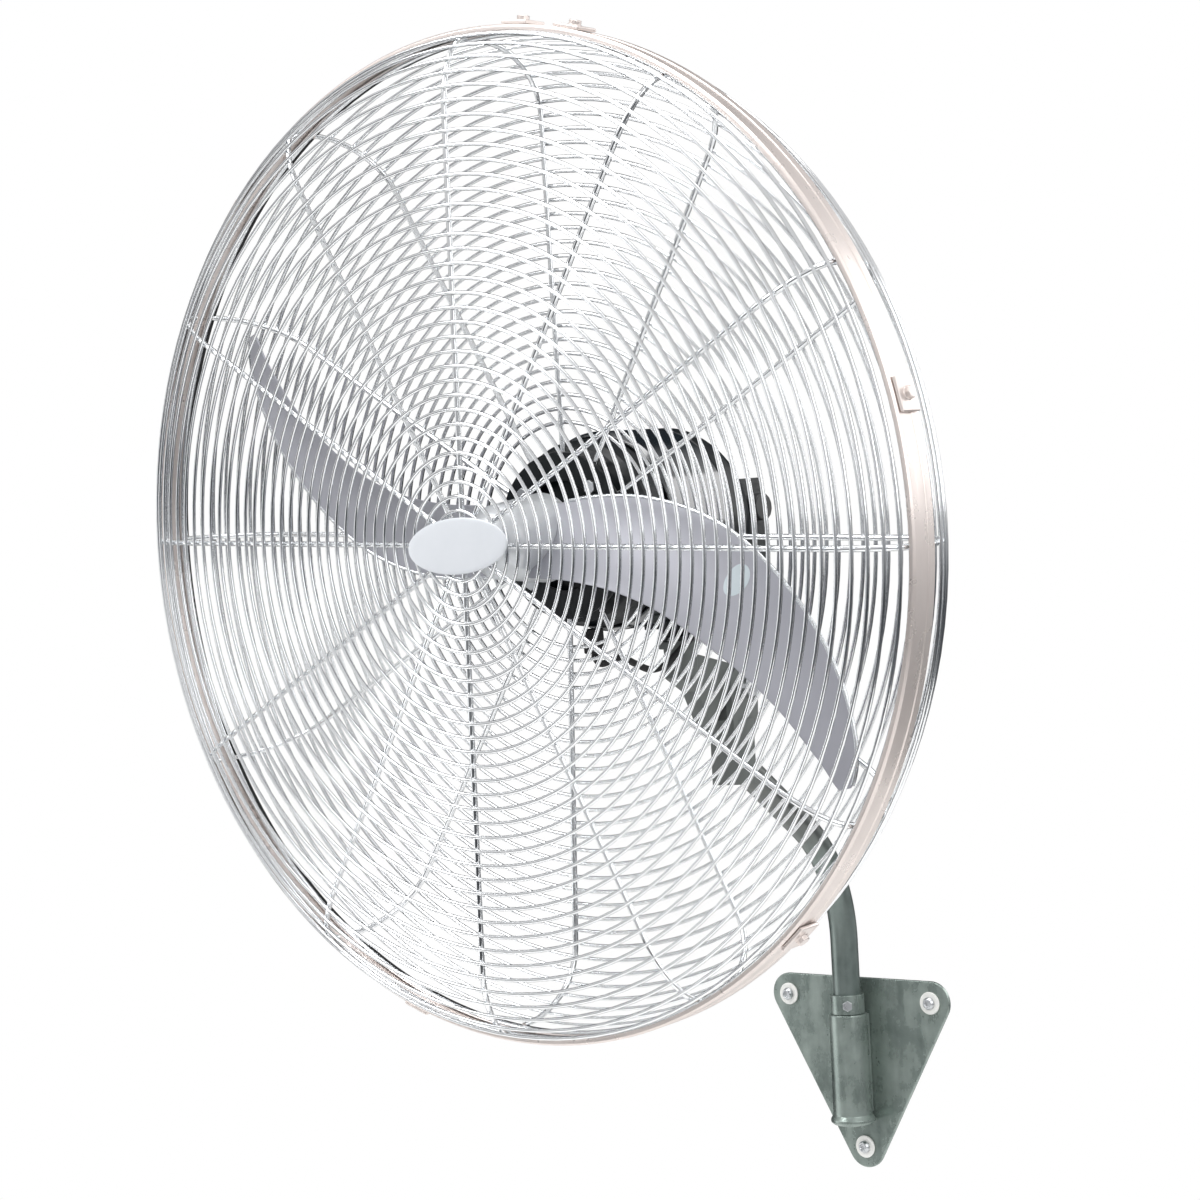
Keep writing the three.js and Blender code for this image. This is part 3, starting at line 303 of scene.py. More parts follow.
# Rolled strip keeps the faint lines of the rolls, which run round the band.
BAND_STEEL = LinedFinish("bright rolled steel strip", "#f0e6e1", "#e0d6d1", 0.6, 0.3, 0.06, 40, 1.0, 0.1,
                         line_mm=1.6)
# Spun metal shows faint rings where the forming tool passed, so highlights smear round it.
HUB_ALLOY = LinedFinish("spun polished aluminium", "#edeff1", "#dfe2e5", 0.45, 0.34, 0.03, 60, 1.0, 0.03,
                        line_mm=3.0)
# Pressed sheet: even satin grey with a soft grain that dulls the reflections.
BLADE_ALLOY = Finish("pressed satin aluminium", "#aeafb7", "#a4a4ac", 0.2, 0.4, 0.06, 60, 1.6, 0.08)
# The rolled edge of a blade is burnished, so it draws a thin bright line.
BEAD_ALLOY = Finish("burnished aluminium edge", "#e9ebed", "#d2d5d8", 1.0, 0.2, 0.05, 20, 1.2, 0.08)
# Thick gloss enamel on the motor's middle: black, but mirror-like where light grazes it.
HOUSING_ENAMEL = Finish("gloss enamelled drawn steel", "#12181d", "#1b2329", 0.0, 0.16, 0.04, 50, 7.0, 0.06,
                        coat=1.0, specular=0.9)
# Thinner satin enamel on castings: nearly black, with soft small highlights and an orange peel.
MOTOR_ENAMEL = Finish("satin enamelled cast alloy", "#080b0e", "#10161a", 0.0, 0.34, 0.08, 40, 5.0, 0.3,
                      specular=0.3)
# Sprayed grey paint on cast and welded steel: flat, a little dusty.
NECK_PAINT = Finish("sprayed grey paint on cast steel", "#6d716f", "#646866", 0.0, 0.55, 0.06, 18, 1.4, 0.2,
                    specular=0.3)
# Dip-coated steel: cloudy grey-green with drained streaks and faint crystals.
GALVANISED = SpangledFinish("dip galvanised steel", "#62706b", "#adb8b2", 0.65, 0.28, 0.04, 26, 1.6, 0.08)
# The arm is dipped as the plate is; its upper end goes over to a flat darker grey that is painted shade.
ARM_COATING = ShadedAboveFinish("dip galvanised tube, painted shade at its end", "#5d6966", "#8f9995", 0.6, 0.34,
                                0.06, 40, 1.6, 0.12)
# Bright zinc on small fasteners: clean silver, slightly soft.
ZINC = Finish("zinc plated steel", "#d4d6d8", "#bcbfc2", 1.0, 0.3, 0.06, 5, 0.8, 0.15)
# White nylon is waxy and a little uneven from the mould.
NYLON = Finish("moulded white nylon", "#f4f4f1", "#e6e6e2", 0.0, 0.45, 0.06, 8, 0.9, 0.15)
# A moulded badge plate: pale satin plastic with a hardly visible texture.
BADGE = Finish("moulded satin ABS", "#d9dce1", "#cfd3d8", 0.0, 0.34, 0.05, 20, 0.7, 0.12, coat=0.15)
# Blank film label: smooth, pale and slightly blue.
FILM = Finish("coated label film", "#cfdade", "#c2ced3", 0.0, 0.35, 0.05, 12, 0.8, 0.05)
# Phenolic knob: black, satin from handling.
KNOB = Finish("moulded phenolic", "#191a1c", "#232426", 0.0, 0.42, 0.08, 8, 1.0, 0.2)
# Rubber jacket: matt black with a dusty bloom.
RUBBER = Finish("extruded rubber jacket", "#1a1a1b", "#272728", 0.0, 0.72, 0.1, 10, 0.9, 0.3)
# Ground steel keeps short bright scratches.
GROUND_STEEL = LinedFinish("ground steel", "#b5b8bb", "#9da0a3", 1.0, 0.32, 0.08, 12, 1.0, 0.25, line_mm=0.7)
# Stacked sheet shows the edge of every lamination round the core.
LAMINATIONS = LinedFinish("stacked electrical steel", "#6b6f73", "#53575b", 0.9, 0.5, 0.1, 20, 1.0, 0.6,
                          line_mm=1.0)
# Varnished coils: warm copper in rows of wire.
COPPER = LinedFinish("varnished copper coils", "#b26a3c", "#8c4d29", 0.9, 0.35, 0.1, 9, 1.0, 0.7, line_mm=1.4)
# Cut brass: clean yellow metal with tool lines across the teeth.
BRASS = LinedFinish("hobbed brass", "#c59a4c", "#a87f39", 1.0, 0.3, 0.08, 6, 1.0, 0.3,
                    across=Axis.UPRIGHT, line_mm=0.8)
# Drawn can: soft bright aluminium with upright draw marks.
DRAWN_CAN = LinedFinish("drawn aluminium can", "#cfd2d5", "#b7babd", 1.0, 0.3, 0.06, 14, 1.0, 0.2,
                        across=Axis.SIDEWAYS, line_mm=1.5)
# Studio floor: pale, even and matt.
FLOOR = Finish("matt white floor paint", "#f6f6f5", "#efefee", 0.0, 0.8, 0.05, 400, 40, 0.02)


# ------------------------------------------------------------------ meshes
NOTHING = 1e-6  # a length too short to count
CLOSE = 1e-5  # metres between points that were one before they were rounded
STRAIGHT_DEG = 172  # a corner flatter than this isn't rounded
SIDE_SHARE = 0.45  # of a side, the most that a rounded corner takes
FLAT_DEG = 0.6  # faces that meet flatter than this are one
EDGE_DEG = 32  # edges sharper than this are rounded
SHARP_DEG = 38  # edges sharper than this aren't shaded smooth
CORNER_STEPS = 16  # faces round a corner of the wall plate


def rounded(points: Profile, radius: float, steps: int = 4, closed: bool = True) -> list[Point]:
    """Round the corners of an outline.

    Args:
        points: Corners in order.
        radius: Radius wanted; short sides get less.
        steps: Points per corner, less one.
        closed: Whether the last corner joins the first.

    Returns:
        The outline with an arc in place of each corner.
    """
    out: list[Point] = []
    last = len(points) - 1
    for i, point in enumerate(points):
        here = Vector(point)
        before, after = Vector(points[i - 1]) - here, Vector(points[(i + 1) % len(points)]) - here
        angle = before.angle(after, math.pi)
        if angle > math.radians(STRAIGHT_DEG) or (not closed and i in (0, last)):
            out.append(tuple(point))
            continue
        back = min(radius / math.tan(angle / 2), min(before.length, after.length) * SIDE_SHARE)
        start, end = here + before.normalized() * back, here + after.normalized() * back
        for k in range(steps + 1):
            t = k / steps
            out.append(tuple(start * (1 - t) ** 2 + here * 2 * t * (1 - t) + end * t * t))
    return out


def slab(inner: float, outer: float, low: float, high: float) -> list[Point]:
    """Give the section of a ring between two places along its axis, or of a disc if inner is nought."""
    return [(inner, low), (outer, low), (outer, high), (inner, high)]


def as_mesh(bm: bmesh.types.BMesh) -> Mesh:
    """Give a mesh of what was edited, and free the editor."""
    mesh = bpy.data.meshes.new("shape")
    bm.to_mesh(mesh)
    bm.free()
    return mesh


def finished(bm: bmesh.types.BMesh, merge: float = NOTHING) -> Mesh:
    """Merge doubles, point the faces outward and give the mesh."""
    bmesh.ops.remove_doubles(bm, verts=bm.verts, dist=merge)
    bmesh.ops.recalc_face_normals(bm, faces=bm.faces)
    return as_mesh(bm)


def oval(across: float, up: float, y: float, sides: int) -> list[Spot]:
    """Give points in metres round the y axis, or one point where the oval has no width.

    Args:
        across: Half the width along x, in millimetres.
        up: Half the height along z.
        y: Place along the axis.
        sides: Number of points.

    Returns:
        The points in order.
    """
    if across < NOTHING:
        return [(0, y * MM, 0)]
    angles = [TAU * i / sides for i in range(sides)]
    return [(across * MM * math.cos(a), y * MM, up * MM * math.sin(a)) for a in angles]


def lofted(rows: Sequence[Sequence[Sequence[float]]], looped: bool = False, capped: bool = False) -> Mesh:
    """Skin a row of rings.

    Args:
        rows: Points of each ring in metres; all have the same number, or one where they meet in a tip.
        looped: Whether the last ring joins the first.
        capped: Whether the first and last rings are filled.

    Returns:
        A mesh with its faces outward.
    """
    bm = bmesh.new()
    rings = [[bm.verts.new(point) for point in row] for row in rows]
    count = max(map(len, rings))
    for low, high in zip(rings, rings[1:] + rings[:1] if looped else rings[1:]):
        for i in range(count):
            j = (i + 1) % count
            corners = [low[i % len(low)], low[j % len(low)], high[j % len(high)], high[i % len(high)]]
            distinct = list(dict.fromkeys(corners))
            if len(distinct) > 2:
                bm.faces.new(distinct)
    if capped:
        bm.faces.new(rings[0])
        bm.faces.new(list(reversed(rings[-1])))
    return finished(bm)


def revolve(profile: Profile, sides: int = 96) -> Mesh:
    """Turn a profile about the y axis.

    Args:
        profile: Radius and place along y, in millimetres; it may start and end on the axis, or else it closes.
        sides: Steps round the axis.

    Returns:
        A closed mesh with its faces outward.
    """
    return lofted([oval(r, r, y, sides) for r, y in profile], looped=profile[0][0] > NOTHING)


def smoothed(mesh: Mesh, angle: float) -> Mesh:
    """Shade smooth, with edges sharper than an angle in degrees kept sharp and flat faces kept flat."""
    mesh.polygons.foreach_set("use_smooth", [True] * len(mesh.polygons))
    mesh.set_sharp_from_angle(angle=math.radians(angle))
    return evaluated(mesh, "WEIGHTED_NORMAL", keep_sharp=True)


def stood(name: str, data: bpy.types.ID) -> bpy.types.Object:
    """Make an object of a mesh, curve, camera or light and put it in the scene."""
    thing = bpy.data.objects.new(name, data)
    bpy.context.scene.collection.objects.link(thing)
    return thing


def evaluated(mesh: Mesh, kind: str, inputs: dict[str, object] | None = None, **settings: object) -> Mesh:
    """Put a mesh through a modifier and give the plain result.

    Args:
        mesh: The mesh to start from.
        kind: Blender's name for the kind of modifier.
        inputs: Identifier of a node tree's socket to its value.
        settings: Properties of the modifier.

    Returns:
        A new mesh with the modifier's result.
    """
    holder = stood("holder", mesh)
    modifier = holder.modifiers.new("shaper", kind)
    for name, value in settings.items():
        setattr(modifier, name, value)
    for name, value in (inputs or {}).items():
        modifier[name] = value
    return plain(holder)


def plain(holder: bpy.types.Object) -> Mesh:
    """Give an object's final mesh and remove the object."""
    graph = bpy.context.evaluated_depsgraph_get()
    mesh = bpy.data.meshes.new_from_object(holder.evaluated_get(graph))
    bpy.data.objects.remove(holder)
    return mesh


def softened(node: str, width: float) -> Mesh:
    """Copy a CAD node with its flat faces whole and its sharp edges rounded.

    Args:
        node: Name of the CAD node.
        width: Width of the rounding in millimetres.

    Returns:
        The new mesh, in place.
    """
    bm = bmesh.new()
    bm.from_mesh(frame["nodes"][node].data)
    bmesh.ops.remove_doubles(bm, verts=bm.verts, dist=CLOSE)
    bmesh.ops.dissolve_limit(bm, angle_limit=math.radians(FLAT_DEG), verts=bm.verts, edges=bm.edges)
    return evaluated(as_mesh(bm), "BEVEL", width=width * MM, segments=3, limit_method="ANGLE",
                     angle_limit=math.radians(EDGE_DEG), use_clamp_overlap=True)


def plate(outline: Profile, thickness: float, edge: float, holes: Sequence[Spot]) -> Mesh:
    """Make a flat plate with rounded edges, in x and z, from y = 0 to y = thickness.

    Args:
        outline: Corners in millimetres.
        thickness: Thickness in millimetres.
        edge: Radius of the rounded edge.
        holes: Each hole's x, z and radius.

    Returns:
        A closed mesh.
    """
    curve = bpy.data.curves.new("plate", "CURVE")
    curve.dimensions = "2D"
    curve.fill_mode = "BOTH"
    curve.extrude = (thickness / 2 - edge) * MM
    curve.bevel_depth = edge * MM
    curve.bevel_resolution = 2
    curve.offset = -edge * MM
    steps = [TAU * i / 32 for i in range(32)]
    rims = [outline] + [[(x + r * math.cos(a), z + r * math.sin(a)) for a in steps] for x, z, r in holes]
    for rim in rims:
        spline = curve.splines.new("POLY")
        spline.points.add(len(rim) - 1)
        for point, (x, z) in zip(spline.points, rim):
            point.co = (x * MM, z * MM, 0, 1)
        spline.use_cyclic_u = True
    bm = bmesh.new()
    bm.from_mesh(moved(plain(stood("plate", curve)), at(0, thickness / 2, 0) @ turn("X", 90)))
    return finished(bm, CLOSE)


def merged(meshes: Sequence[Mesh]) -> Mesh:
    """Put several closed meshes in one."""
    bm = bmesh.new()
    for mesh in meshes:
        bm.from_mesh(mesh)
    return as_mesh(bm)


def shaved(mesh: Mesh, level: float) -> Mesh:
    """Cut off what lies behind a level of y in millimetres, and close the cut."""
    bm = bmesh.new()
    bm.from_mesh(mesh)
    everything = bm.verts[:] + bm.edges[:] + bm.faces[:]
    cut = bmesh.ops.bisect_plane(bm, geom=everything, plane_co=(0, level * MM, 0), plane_no=(0, 1, 0),
                                 clear_outer=True)
    rim = [e for e in cut["geom_cut"] if isinstance(e, bmesh.types.BMEdge)]
    bmesh.ops.edgeloop_fill(bm, edges=rim)
    return finished(bm)


def rippled(mesh: Mesh, height: float, pitch: float) -> Mesh:
    """Swell a mesh in even steps along z, as the runs of a weld do; both sizes are in millimetres."""
    middle = sum((v.co for v in mesh.vertices), Vector()) / len(mesh.vertices)
    for vertex in mesh.vertices:
        wave = abs(math.sin(math.pi * vertex.co.z / (pitch * MM)))
        out = Vector((vertex.co.x - middle.x, min(vertex.co.y - middle.y, 0), 0)).normalized()
        vertex.co += out * (wave * height * MM)
    return mesh


def moved(mesh: Mesh, matrix: Matrix) -> Mesh:
    """Move a mesh's points and give the mesh."""
    mesh.transform(matrix)
    return mesh


def at(x: float, y: float, z: float) -> Matrix:
    """Give a shift in millimetres."""
    return Matrix.Translation((x * MM, y * MM, z * MM))


def turn(axis: str, degrees: float) -> Matrix:
    """Give a turn about an axis."""
    return Matrix.Rotation(math.radians(degrees), 4, axis)


# ------------------------------------------------------------------ geometry nodes
@dataclass
class Grower:
    """A Geometry Nodes tree with named inputs, and the way to run it.

    Args:
        name: Name of the tree.
        inputs: Input name to socket kind.
    """

    name: str
    inputs: dict[str, str]
    tree: Tree = field(init=False)
    start: Node = field(init=False)

    def __post_init__(self) -> None:
        """Make the tree's sockets."""
        self.tree = bpy.data.node_groups.new(self.name, "GeometryNodeTree")
        panel = self.tree.interface
        panel.new_socket("Geometry", in_out="OUTPUT", socket_type="NodeSocketGeometry")
        for name, kind in {"Geometry": "Geometry", **self.inputs, "Finish": "Material"}.items():
            panel.new_socket(name, in_out="INPUT", socket_type=f"NodeSocket{kind}")
        self.start = self.add("NodeGroupInput")

    def add(self, kind: str, links: dict | None = None, **settings: object) -> Node:
        """Add a node to the tree, as add_node does."""
        return add_node(self.tree, kind, links, **settings)

    def sweep(self, curve: Node, capped: bool = True) -> Node:
        """Run a round section, by the inputs Radius and Sides, along a curve."""
        section = self.add("GeometryNodeCurvePrimitiveCircle", {
            "Resolution": self.start.outputs["Sides"], "Radius": self.start.outputs["Radius"],
        })
        return self.add("GeometryNodeCurveToMesh", {
            "Curve": curve, "Profile Curve": section, "Fill Caps": capped,
        })

    def repeat(self, piece: Node | Socket) -> Node:
        """Repeat a piece about the y axis, as often as the input Count says."""
        count = self.start.outputs["Count"]
        cloud = self.add("GeometryNodePoints", {"Count": count})
        index = self.add("GeometryNodeInputIndex")
        share = self.add("ShaderNodeMath", {0: index, 1: count}, operation="DIVIDE")
        angle = self.add("ShaderNodeMath", {0: share, 1: TAU}, operation="MULTIPLY")
        spin = self.add("ShaderNodeCombineXYZ", {"X": 0.0, "Y": angle, "Z": 0.0})
        return self.add("GeometryNodeInstanceOnPoints", {
            "Points": cloud, "Instance": piece, "Rotation": spin,
        })

    def close(self, geometry: Node) -> "Grower":
        """End the tree with real geometry, dressed."""
        real = self.add("GeometryNodeRealizeInstances", {"Geometry": geometry})
        dressed = self.add("GeometryNodeSetMaterial", {
            "Geometry": real, "Material": self.start.outputs["Finish"],
        })
        self.add("NodeGroupOutput", {"Geometry": dressed})
        return self

    def grow(self, seed: Mesh, finish: Finish, **values: object) -> Mesh:
        """Run the tree on a mesh.

        Args:
            seed: The mesh that it starts from.
            finish: What the result is dressed in.
            values: The inputs' values.

        Returns:
            The plain mesh that the tree makes.
        """
        sockets = {item.name: item.identifier for item in self.tree.interface.items_tree
                   if item.in_out == "INPUT"}
        values["Finish"] = finish.material()
        inputs = {sockets[name]: value for name, value in values.items()}
        return evaluated(seed, "NODES", inputs, node_group=self.tree)


def points_mesh(points: Sequence[Sequence[float]], joined: bool = True) -> Mesh:
    """Make a mesh of points in millimetres, with edges in order if they are joined."""
    edges = [(i, i + 1) for i in range(len(points) - 1)] if joined else []
    mesh = bpy.data.meshes.new("points")
    mesh.from_pydata([[c * MM for c in p] for p in points], edges, [])
    return mesh


def hoop_tree() -> Grower:
    """Rings about the y axis: each point gives one ring's radius as x and its place as y."""
    grower = Grower("hoops about a shaft", {"Radius": "Float", "Steps": "Int", "Sides": "Int"})
    hoop = grower.add("GeometryNodeCurvePrimitiveCircle", {
        "Resolution": grower.start.outputs["Steps"], "Radius": 1.0,
    })
    upright = grower.add("GeometryNodeTransform", {"Geometry": hoop, "Rotation": (math.pi / 2, 0.0, 0.0)})
    parts = grower.add("ShaderNodeSeparateXYZ", {"Vector": grower.add("GeometryNodeInputPosition")})
    radius, place = parts.outputs["X"], parts.outputs["Y"]
    size = grower.add("ShaderNodeCombineXYZ", {"X": radius, "Y": 1.0, "Z": radius})
    centre = grower.add("ShaderNodeCombineXYZ", {"X": 0.0, "Y": place, "Z": 0.0})
    cloud = grower.add("GeometryNodeMeshToPoints", {"Mesh": grower.start})
    sized = grower.add("GeometryNodeStoreNamedAttribute", {
        "Geometry": cloud, "Name": "hoop_size", "Value": size,
    }, data_type="FLOAT_VECTOR", domain="POINT")
    centred = grower.add("GeometryNodeSetPosition", {"Geometry": sized, "Position": centre})
    kept = grower.add("GeometryNodeInputNamedAttribute", {"Name": "hoop_size"}, data_type="FLOAT_VECTOR")
    placed = grower.add("GeometryNodeInstanceOnPoints", {
        "Points": centred, "Instance": upright, "Scale": kept,
    })
    real = grower.add("GeometryNodeRealizeInstances", {"Geometry": placed})
    return grower.close(grower.sweep(real, capped=False))


def spoke_tree() -> Grower:
    """Wires along a joined line of points, repeated about the y axis."""
    grower = Grower("wires about a shaft", {"Radius": "Float", "Sides": "Int", "Count": "Int"})
    line = grower.add("GeometryNodeMeshToCurve", {"Mesh": grower.start})
    return grower.close(grower.repeat(grower.sweep(line)))


def ring_tree() -> Grower:
    """Copies of a small piece about the y axis, such as screws on a bolt circle."""
    grower = Grower("pieces about a shaft", {"Count": "Int"})
    return grower.close(grower.repeat(grower.start))


def tube_tree() -> Grower:
    """A round tube or cord along a joined line of points, smoothed to a curve."""
    grower = Grower("tube along a line", {"Radius": "Float", "Sides": "Int", "Spacing": "Float"})
    line = grower.add("GeometryNodeMeshToCurve", {"Mesh": grower.start})
    smooth = grower.add("GeometryNodeCurveSplineType", {"Curve": line}, spline_type="CATMULL_ROM")
    even = grower.add("GeometryNodeResampleCurve", {
        "Curve": smooth, "Length": grower.start.outputs["Spacing"],
    }, mode="LENGTH")
    return grower.close(grower.sweep(even))


def rod(line: Sequence[Spot | Vector], radius: float, finish: Finish, sides: int, spacing: float) -> Mesh:
    """Make a round rod, cord or weld along a smoothed line.

    Args:
        line: Points in millimetres.
        radius: Its radius.
        finish: What it is dressed in.
        sides: Faces round it.
        spacing: Length of a face along it.

    Returns:
        The rod, closed at its ends.
    """
    return tube_tree().grow(points_mesh(line), finish, Radius=radius * MM, Sides=sides, Spacing=spacing * MM)


# ------------------------------------------------------------------ pieces
@dataclass
class Assembly:
    """Pieces that ride on one CAD body.

    Args:
        body: Name of the CAD body.
    """

    body: str

    def piece(self, name: str, mesh: Mesh, finish: Finish, slot: str, *nodes: str,
              angle: float = SHARP_DEG) -> None:
        """Hang a finished mesh on the body.

        Args:
            name: The piece's name.
            mesh: Its mesh, in place.
            finish: What it is dressed in.
            slot: The record's material slot; not used.
            nodes: CAD nodes that it stands for.
            angle: Edges sharper than this stay sharp.
        """
        mesh = smoothed(mesh, angle)
        mesh.name = name
        mesh.materials.clear()
        mesh.materials.append(finish.material())
        thing = stood(name, mesh)
        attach(thing, self.body)
        if nodes:
            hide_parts(*nodes)
        LOG.info("%s on %s: %d faces", name, self.body, len(mesh.polygons))

    def soften(self, node: str, finish: Finish, slot: str, width: float) -> None:
        """Stand a CAD node's softened copy in its place."""
        self.piece(f"{node}_finished", softened(node, width), finish, slot, node)

    def dress(self, finish: Finish, *nodes: str) -> None:
        """Give CAD nodes that stay a finish."""
        for node in nodes:
            mesh = frame["nodes"][node].data
            mesh.materials.clear()
            mesh.materials.append(finish.material())
            LOG.info("%s dressed in %s", node, finish.name)


def head_matrix() -> Matrix:
    """Give the head's frame: y back along the shaft from the middle of the rim band, z up, square to it."""
    spin = next(j for j in frame["joints"] if j["name"] == "rotor_spin")
    back = Vector(spin["axis"]).normalized()
    side = Vector((1, 0, 0))
    low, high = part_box("rim_band")
    matrix = Matrix((side, back, side.cross(back))).transposed().to_4x4()
    matrix.translation = (low + high) / 2
    return matrix


HEAD = head_matrix()


def node_span(node: str) -> tuple[float, float]:
    """Give a CAD node's first and last place along the shaft, in millimetres from the rim band's middle."""
    back = HEAD.inverted()
    places = [(back @ v.co).y / MM for v in frame["nodes"][node].data.vertices]
    return min(places), max(places)


@dataclass
class Cage(Assembly):
    """Two wire guards, the band that joins them, its clips and the badge. Sizes in millimetres."""

    body: str = "head"
    rim_r: float = 406.0
    rim_half: float = 14.0
    sheet: float = 2.0
    lip: float = 2.8
    ribs: int = 12
    turn_deg: float = 4.4
    wire_r: float = 1.55
    rib_r: float = 2.3
    edge_r: float = 2.5
    pitch: float = 11.4
    rib_end_r: float = 398.3
    front_depth: float = 37.4
    front_knee_r: float = 340.0
    front_eye_r: float = 28.0
    rib_eye_r: float = 12.0
    rear_depth: float = 77.0
    rear_centre_depth: float = 87.0
    rear_knee_r: float = 343.0
    rear_eye_r: float = 94.0
    rear_ring_r: float = 64.0
    badge_half: Point = (54.5, 22.5)
    clips: int = 7
    clamp_screws: int = 4
    bend_steps: int = 14
    last_hoop_deg: float = 14.0
    hub_disc: Point = (22.0, 1.0)
    play: float = 0.3
    chamfer: float = 1.6
    groove: float = 0.7
    groove_half: float = 4.0
    corner: float = 0.7
    # Thickness of the black ring that is painted shade at the band's rear lip.
    shade_ring_thickness: float = 1.4
    stem_r: float = 13.5

    @property
    def place(self) -> Matrix:
        """The cage's frame: the head's, turned so that the ribs stand as they do."""
        return HEAD @ turn("Y", self.turn_deg)

    @property
    def ring_level(self) -> float:
        """Depth of the edge wires inside the band."""
        return self.rim_half - self.sheet - self.play - self.edge_r

    def outline(self, eye: Point, knee: Point, offset: float = 0.0, stop_deg: float = 0.0) -> list[Point]:
        """Give a guard's section from its eye over the knee to the rim.

        Args:
            eye: Radius and depth at the middle.
            knee: Radius and depth where the edge starts to bend.
            offset: How far outside the ribs' own line it lies.
            stop_deg: Where on the quarter bend it stops, in degrees above the rim.

        Returns:
            Radius and depth of each point.
        """
        across = self.rib_end_r - knee[0] + offset
        down = knee[1] - self.ring_level + offset
        points = [(eye[0], eye[1] + offset)]
        for k in range(self.bend_steps + 1):
            angle = math.radians(90 - (90 - stop_deg) * k / self.bend_steps)
            points.append((knee[0] + across * math.cos(angle), self.ring_level + down * math.sin(angle)))
        return points

    def along(self, line: Profile) -> list[Point]:
        """Give points one pitch apart along a line."""
        places, travelled, wanted = [], 0.0, 0.0
        for a, b in zip(line, line[1:]):
            length = math.dist(a, b)
            while wanted <= travelled + length:
                t = (wanted - travelled) / length
                places.append((a[0] + (b[0] - a[0]) * t, a[1] + (b[1] - a[1]) * t))
                wanted += self.pitch
            travelled += length
        return places

    def guard(self, name: str, side: int, eye: Point, knee: Point, wire_eye: Point) -> None:
        """Build one guard's hoops and its frame of ribs.

        Args:
            name: Start of the pieces' names, as the CAD nodes have it.
            side: Minus one in front, one behind.
            eye: Where the ribs start.
            knee: Where the edge starts to bend.
            wire_eye: Where the innermost hoop lies.
        """
        lift = self.rib_r + self.wire_r
        hoops = self.along(self.outline(wire_eye, knee, lift, self.last_hoop_deg))
        seed = points_mesh([(r, side * y, 0) for r, y in hoops], joined=False)
        wires = hoop_tree().grow(seed, CHROME_WIRE, Radius=self.wire_r * MM, Steps=120, Sides=8)
        self.piece(f"{name}_hoops", moved(wires, self.place), CHROME_WIRE, "cage_chrome", f"{name}_wire",
                   angle=60)

        seed = points_mesh([(r, side * y, 0) for r, y in self.outline(eye, knee)])
        spokes = spoke_tree().grow(seed, CHROME_WIRE, Radius=self.rib_r * MM, Sides=12, Count=self.ribs)
        edge_centre = self.rim_r - self.sheet - self.play - self.edge_r
        seed = points_mesh([(edge_centre, side * self.ring_level, 0)])
        edge = hoop_tree().grow(seed, CHROME_WIRE, Radius=self.edge_r * MM, Steps=144, Sides=10)
        frame_mesh = merged([spokes, edge, self.middle(side)])
        self.piece(f"{name}_frame", moved(frame_mesh, self.place), CHROME_WIRE, "cage_chrome",
                   f"{name}_ribs", angle=60)

    def middle(self, side: int) -> Mesh:
        """Give the disc that the front ribs meet, or the ring that the rear ribs end on."""
        if side < 0:
            radius, corner = self.hub_disc
            face, back = -self.front_depth - self.rib_r, -self.front_depth + self.rib_r
            return revolve(rounded(slab(0, radius, face, back), corner, closed=False), 64)
        ring = points_mesh([(self.rear_ring_r, self.rear_centre_depth, 0)])
        return hoop_tree().grow(ring, CHROME_WIRE, Radius=self.rib_r * MM, Steps=64, Sides=12)

    def band(self) -> None:
        """Build the rolled band with its turned-in lips and a shallow groove round its middle."""
        outer, half, inner = self.rim_r, self.rim_half, self.rim_r - self.sheet
        lip, back = inner - self.lip, half - self.sheet
        edge = [(outer - self.chamfer, half), (outer, half - 2), (outer, self.groove_half + 1),
                (outer - self.groove, self.groove_half)]
        section = [(lip, -half), *((r, -y) for r, y in edge), *reversed(edge), (lip, half), (lip, back),
                   (inner, back), (inner, -back), (lip, -back)]
        mesh = revolve(rounded(section, self.corner, 2), 192)
        self.piece("rim_band_rolled", moved(mesh, self.place), BAND_STEEL, "rim_steel", "rim_band", angle=50)

    def painted_shade_ring(self) -> None:
        """Lay a thin black ring along the band's rear lip: painted shade for the dark gap at the rear edge of
        the band's inside.
        """
        lip, half = self.rim_r - self.sheet - self.lip, self.rim_half
        skin, thick, over = 0.1, self.shade_ring_thickness, 1.8
        inside, near, back = half - self.sheet + skin, half + skin, half + 0.9
        section = [(lip - thick, inside), (lip - thick, back), (lip + over, back), (lip + over, near),
                   (lip - skin, near), (lip - skin, inside)]
        mesh = revolve(rounded(section, 0.4, 2), 192)
        # Painted shade: a black ring where the band's rear lip lies in shadow.
        self.piece("rim_band_painted_shade", moved(mesh, self.place), RUBBER, "rim_steel", angle=50)

    def badge(self) -> None:
        """Build the blank oval plate on its stem, with a slightly crowned face."""
        first, last = node_span("front_badge")
        a, b = self.badge_half
        crown = [(0.0, 0.0), (0.5, 0.05), (0.85, 0.3), (0.955, 0.55), (0.99, 1.1), (1.0, 1.8), (0.99, 2.5),
                 (0.97, 2.8), (0.0, 2.8)]
        face = lofted([oval(a * share, b * share, first + depth, 96) for share, depth in crown])
        stem = revolve(slab(0, self.stem_r, first + 2, last), 48)
        self.piece("front_badge_blank", moved(merged([face, stem]), HEAD), BADGE, "badge_grey", "front_badge")

